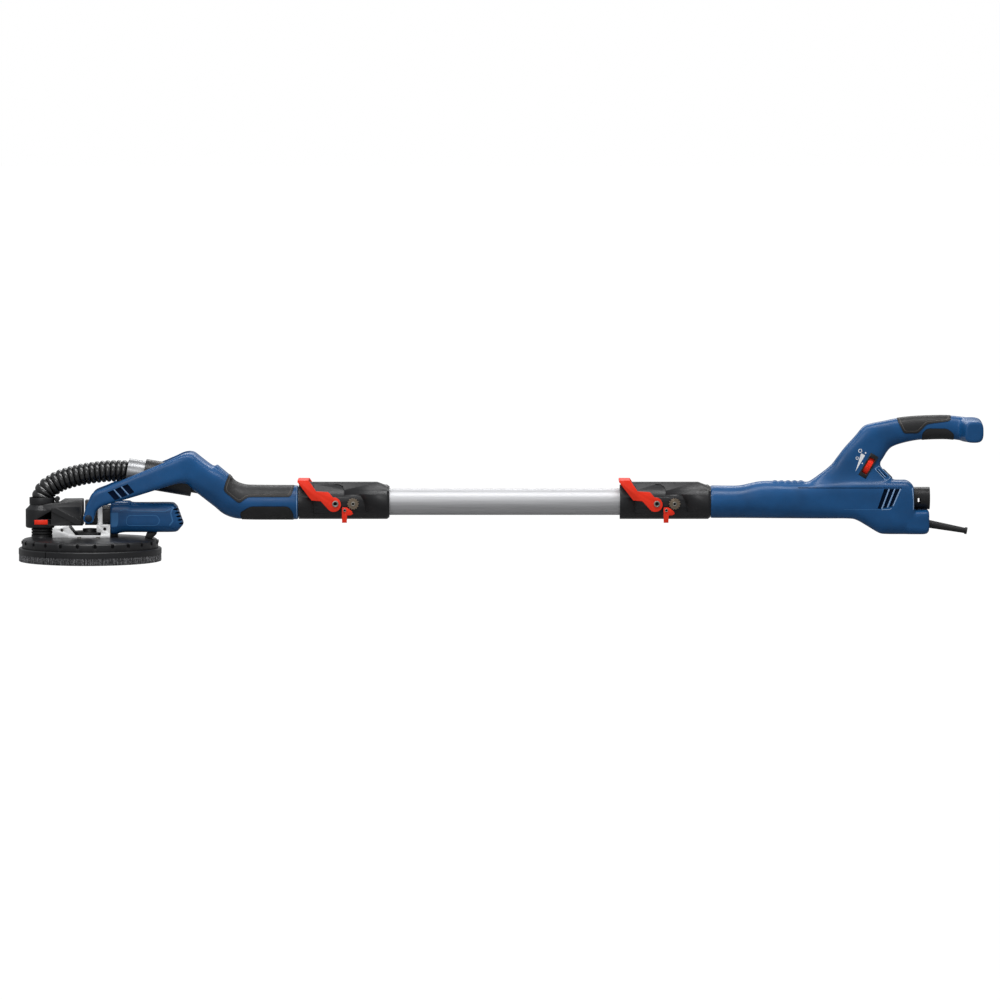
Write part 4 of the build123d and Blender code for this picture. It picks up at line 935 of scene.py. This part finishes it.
body_stations = [
    (1086, 130.7, 1086, 73.5, 28.6, 2.05), (1110, 130.4, 1110, 73.5, 28.7, 2.05),
    (1135, 130.6, 1135, 73.5, 28.9, 2.1), (1155, 134.6, 1155, 73.4, 29.3, 2.2),
    (1173, 138, 1173, 73.3, 29.6, 2.35), (1195, 138.4, 1195, 73.2, 29.9, 2.5),
    (1225, 136.8, 1225, 73.1, 30, 2.7), (1255, 137, 1255, 73, 30.1, 3), (1290, 140, 1290, 73, 30.2, 3.4),
    (1326, 141, 1326, 73, 30.3, 3.8), (1341, 141, 1341, 70.5, 30.4, 4),
    (1362, 141, 1362, 58.5, 30.4, 4.2), (1380, 141, 1380, 48, 30.4, 4.4),
    (1392, 140.6, 1392, 46, 30.4, 4.5), (1418, 140.2, 1418, 45.8, 30.4, 4.5),
    (1428, 140, 1428, 45.8, 30.4, 4.5), (1436, 135.5, 1436, 45.8, 30.2, 4.5),
    (1440.5, 130, 1440.5, 45.8, 29.8, 4.5),
]
ledge_stations = [
    (1430, 88.6, 1430, 45.8, 30.2, 4.5), (1450, 88.6, 1450, 45.8, 30, 5),
    (1460, 88.6, 1460, 46, 29.4, 5), (1465, 88.4, 1465, 48, 28.6, 5),
    (1467.6, 87.6, 1467.6, 52, 27.5, 4.6),
]
stem_stations = [
    (1238, 118, 1420, 118, 28.5, 4), (1243, 126, 1418, 127, 27.6, 4), (1253, 134.4, 1411, 136, 24.5, 4),
    (1264, 141.4, 1404, 143, 21.5, 4), (1276, 150, 1395, 152, 19.2, 4),
    (1296, 166, 1384.4, 163, 17.9, 4), (1307, 180, 1382.6, 170.6, 17.5, 4),
    (1320, 197, 1387, 178, 17.5, 3.8), (1338, 217, 1394, 189.4, 17.6, 3.4),
    (1353, 234.4, 1400.5, 196.8, 17.7, 3), (1368, 239.8, 1409, 201.2, 17.7, 2.8),
    (1388, 243.8, 1420, 204.6, 17.6, 2.6), (1411, 248.5, 1434, 208, 17.5, 2.5),
    (1440, 251.8, 1452, 210.8, 17.5, 2.5), (1477, 253.3, 1478, 212.2, 17.5, 2.5),
    (1507, 253, 1505, 211.8, 17.6, 2.5), (1540, 249, 1538, 207.6, 17.8, 2.6),
    (1550, 246.5, 1546, 207, 17.8, 2.6),
]


cross_bar_rings = [
    (0, 1538.5, 228.6, 22.5, 21.6), (16, 1540, 228.4, 20.5, 21), (30, 1542.3, 227.6, 18.2, 20),
    (40, 1543.8, 226.6, 16.6, 19), (44.2, 1544.3, 226.2, 15.8, 18.2), (45.4, 1544.5, 226.1, 14.8, 17.2),
]


def add_cross_bar(bm, square=3.3, around=44):
    """Bar along y through rings of (y, centre x, centre z, half length, half height), alike on both sides."""
    rings = [(-y, *shape) for y, *shape in reversed(cross_bar_rings)]
    rings += cross_bar_rings[1:]
    shapes = []
    for y, x, z, half_x, half_z in rings:
        turns = [squared_turn(2 * pi * (step + 0.5) / around, square) for step in range(around)]
        shapes.append([(x + half_x * across, y, z + half_z * up) for across, up in turns])
    add_loft(bm, shapes)


def speed_marks(form):
    """Plain wedge, rings and dots beside the speed wheel, on the right side."""
    rings = ((1346.6, 192.4, 3.4, 1.1), (1341.4, 179.6, 2.8, 1.0))
    dots = ((1356, 188.8, 1.4), (1350.4, 170.4, 1.2))
    wedge = [(1338.4, 156), (1348.2, 188), (1355.2, 184.6)]
    marks = [disc_outline(x, z, radius) for x, z, radius in dots]
    marks += [disc_outline(x, z, radius) for x, z, radius, _ in rings]
    holes = [disc_outline(x, z, radius - wide) for x, z, radius, wide in rings]
    inlay("speed_marks", form, marks + [wedge], "rear", holes, print_white, (-1,))


def rear_openings():
    """Wells and openings of the rear casing: screws, speed wheel, switch, hose, cord and tube."""
    bm = bmesh.new()
    screw_wells(bm, "housing_screws")
    low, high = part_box("speed_wheel_bezel")
    middle = Vector(((low[0] + high[0]) / 2 / MM, (low[2] + high[2]) / 2 / MM))
    slope = radians(60)
    along, across = Vector((cos(slope), sin(slope))), Vector((-sin(slope), cos(slope)))
    add_plate(bm, slanted_rectangle(middle, along, across, 22.2, -7.7, 7.7), -40, -1)
    slope = radians(45)
    middle = Vector((1395.4, 151.4))
    along, out = Vector((cos(slope), -sin(slope))), Vector((sin(slope), cos(slope)))
    add_plate(bm, slanted_rectangle(middle, along, out, 11.2, -14, 12), -7.2, 7.2)
    low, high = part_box("hose_adapter")
    adapter_z = (low[2] + high[2]) / 2 / MM
    add_rod(bm, (1425, 0, adapter_z), (1480, 0, adapter_z), 19.9, around=56)
    add_rod(bm, (1455, 0, 62), (1480, 0, 60), 5.6)
    add_rod(bm, (1080, 0, pole_z), (1120, 0, pole_z), 25, around=56)
    return bm


def rear_housing():
    """Rear casing: barrel, ledge, stem with the handle and its cross bar, vents painted dark as shade, edge
    lines painted pale as highlights, and openings.
    """
    bm = bmesh.new()
    add_body(bm, body_stations, 4, 64)
    add_body(bm, ledge_stations, 4, 64)
    add_body(bm, stem_stations, 5, 48)
    add_cross_bar(bm)
    for step in range(5):
        x = 1199 + 11.4 * step
        add_rod(bm, (x, -13, 135.2), (x, 13, 135.2), 4.6, around=24)
    form = joined("rear_form", bm, materials["blue_plastic"], 2.0, 5)

    top = [(1411.6, 280), (1411.6, 246), (1422.6, 223), (1447.4, 223), (1463, 239.4), (1503.8, 244.8),
           (1508, 280)]
    low = [(1455, 200), (1455, 222), (1463, 231), (1498, 231), (1510, 222), (1510, 200)]
    grip("handle_grip_pads", form, (top, low), 4.5, "rear", "handle_grips", 1)

    # Groove along the panel's top edge, painted dark blue as shade.
    recess(form, [ribbon([(1238, 128), (1419, 128)], 1.2)], (1, -1), 1.0, material=painted_recess_shade, low=20.0)
    # Vents, with edge lines painted pale as highlights beside them and along the body's end.
    vents, edges = [], []
    for step in range(3):
        x = 1376.5 + 9.9 * step
        vents.append([(x, 92 + step), (x + 6, 91.4 + 2.4 * step), (x + 18.9, 126.4), (x + 11.6, 126.4)])
        edges.append(ribbon([(x + 7.4, 91.6 + 2.6 * step), (x + 20.4, 126.6)], 2.0))
    # Foot line of the panel painted lighter as a highlight.
    inlay("panel_foot_line", form, [ribbon([(1318, 90.2), (1382, 90.2)], 0.7)], "rear", material=painted_highlight_blue)
    edges.append(ribbon([(1401, 92.4), (1397, 90.6), (1384, 90.2)], 1.2))
    edges.append(ribbon([(1437.4, 128), (1439.4, 108), (1439.4, 90)], 1.7))
    # Switch slots painted dark as shade, inside a frame and slot line painted pale as highlights.
    slots = []
    for step in range(2):
        x, z = 1374.6 + 5.2 * step, 157.4 + 3.0 * step
        slots.append([(x, z), (x + 2.6, z + 1.6), (x + 14.8, z - 12.2), (x + 12.2, z - 13.8)])
    frame_line = [(1371.6, 161), (1380, 166.4), (1401.4, 145.4), (1392, 139.6)]
    inlay("rear_edge_lines", form, edges, "rear")
    field = rounded(inset_outline(frame_line, 1.0), 2)
    inlay("switch_frame", form, [rounded(frame_line, 2)], "rear", [field])
    inlay("switch_slot_line", form, [ribbon([(1378.8, 160.2), (1391, 146.4)], 1.0)], "rear")
    speed_marks(form)
    # Vents and switch slots with their cut faces painted dark blue as shade.
    trim(form, side_plates(vents, (1, -1), 26.5), "DIFFERENCE", painted_recess_shade)
    trim(form, side_plates(slots, (1, -1), 14.0), "DIFFERENCE", painted_recess_shade)
    trim(form, rear_openings(), "DIFFERENCE")
    halves(form, "rear", (("rear_housing_left", 1), ("rear_housing_right", -1)))


# ---------------------------------------------------------------- studio and camera, in metres

floor_reach, floor_z = 30.0, -0.0012
view_distance, view_width, view_rise = 12.0, 1.75, radians(4.1)
sensor_width = 36.0


def studio():
    """White room: pale floor, three soft lamps and an even white surround."""
    bm = bmesh.new()
    for x, y in ((-1, -1), (1, -1), (1, 1), (-1, 1)):
        bm.verts.new((x * floor_reach, y * floor_reach, floor_z))
    bm.faces.new(bm.verts)
    floor_material = bpy.data.materials.new("studio_floor")
    floor_material.use_nodes = True
    nodes, links = floor_material.node_tree.nodes, floor_material.node_tree.links
    shader = nodes["Principled BSDF"]
    shader.inputs["Base Color"].default_value = (0.22, 0.22, 0.22, 1)
    shader.inputs["Roughness"].default_value = 0.9
    glow = nodes.new("ShaderNodeEmission")
    glow.inputs["Color"].default_value = (1, 1, 1, 1)
    glow.inputs["Strength"].default_value = 1.13
    path = nodes.new("ShaderNodeLightPath")
    share = nodes.new("ShaderNodeMath")
    share.operation = "MULTIPLY"
    share.inputs[1].default_value = 0.9
    mix = nodes.new("ShaderNodeMixShader")
    links.new(path.outputs["Is Camera Ray"], share.inputs[0])
    links.new(share.outputs[0], mix.inputs["Fac"])
    links.new(shader.outputs["BSDF"], mix.inputs[1])
    links.new(glow.outputs["Emission"], mix.inputs[2])
    links.new(mix.outputs["Shader"], nodes["Material Output"].inputs["Surface"])
    floor = mesh_object("studio_floor_plane", bm, floor_material)

    world = bpy.data.worlds.new("studio")
    bpy.context.scene.world = world
    world.use_nodes = True
    nodes, links = world.node_tree.nodes, world.node_tree.links
    nodes.clear()
    output = nodes.new("ShaderNodeOutputWorld")
    seen, lit = nodes.new("ShaderNodeBackground"), nodes.new("ShaderNodeBackground")
    seen.inputs["Color"].default_value = (1, 1, 1, 1)
    seen.inputs["Strength"].default_value = 1.0
    lit.inputs["Color"].default_value = (0.96, 0.98, 1.0, 1)
    lit.inputs["Strength"].default_value = 0.42
    path = nodes.new("ShaderNodeLightPath")
    mix = nodes.new("ShaderNodeMixShader")
    any_seen = nodes.new("ShaderNodeMath")
    any_seen.operation = "MAXIMUM"
    links.new(path.outputs["Is Camera Ray"], any_seen.inputs[0])
    links.new(path.outputs["Is Transmission Ray"], any_seen.inputs[1])
    links.new(any_seen.outputs[0], mix.inputs["Fac"])
    links.new(lit.outputs["Background"], mix.inputs[1])
    links.new(seen.outputs["Background"], mix.inputs[2])
    links.new(mix.outputs["Shader"], output.inputs["Surface"])

    def lamp(name, place_at, aim, size, power):
        light = bpy.data.lights.new(name, "AREA")
        light.shape = "RECTANGLE"
        light.size, light.size_y = size
        light.energy = power
        item = bpy.data.objects.new(name, light)
        bpy.context.collection.objects.link(item)
        item.location = place_at
        item.rotation_euler = (Vector(aim) - Vector(place_at)).to_track_quat("-Z", "Y").to_euler()

    centre = (0.7, 0, 0.12)
    lamp("key_lamp", (0.7, -0.7, 2.1), centre, (3.0, 0.6), 44)
    lamp("front_lamp", (-0.4, -2.8, 1.3), centre, (1.6, 1.0), 20)
    lamp("rim_lamp", (0.9, 1.8, 1.7), centre, (2.8, 0.5), 26)


def camera():
    """Long lens from the right side, a little above the pole."""
    aim = Vector((0.7175, 0, 0.105))
    data = bpy.data.cameras.new("camera")
    data.sensor_width = sensor_width
    data.lens = sensor_width * view_distance / view_width
    item = bpy.data.objects.new("camera", data)
    bpy.context.collection.objects.link(item)
    item.location = aim + view_distance * Vector((0, -cos(view_rise), sin(view_rise)))
    item.rotation_euler = (aim - item.location).to_track_quat("-Z", "Y").to_euler()
    bpy.context.scene.camera = item


# ---------------------------------------------------------------- the whole tool

for node, source in frame["nodes"].items():
    paint(source, materials[slot_of[node]])
for name, body in (("front", "extension"), ("rear", "rear")):
    grooved_collar(name)
    painted_socket_shade(name, body)
    softened(f"{name}_clamp_lever", 0.9, 3)
    softened(f"{name}_pawl", 0.6)
    softened(f"{name}_star_wheel", 0.25, 1, star_metal)
    softened(f"{name}_clamp_studs", 0.4)
for node, width in (
        ("head_bracket", 0.8), ("gear_case", 0.8),
        ("gimbal_block", 1.5), ("hose_duct_socket", 1.0), ("hose_cuff", 0.5), ("hose_elbow", 0.6),
        ("suction_slider", 0.5), ("shroud", 0.7), ("motor_bumper", 1.0), ("hose_adapter", 0.6),
        ("speed_wheel_bezel", 0.5), ("power_rocker", 0.8)):
    softened(node, width)
softened("fork_pivot_pins", 0.5, material=dark_steel)
suction_housing()
shroud_notches()
ring_seams()
ring_springs()
neck()
motor_housing()
rear_housing()
hose()
tufts("ring_tufts", "brush_skirt", lambda angle: abs(angle - 180) > ring_tufts_from)
tufts("segment_tufts", "segment", lambda angle: abs(angle - 180) < segment_tufts_to)
studio()
camera()
bpy.context.scene.view_settings.view_transform = "Standard"
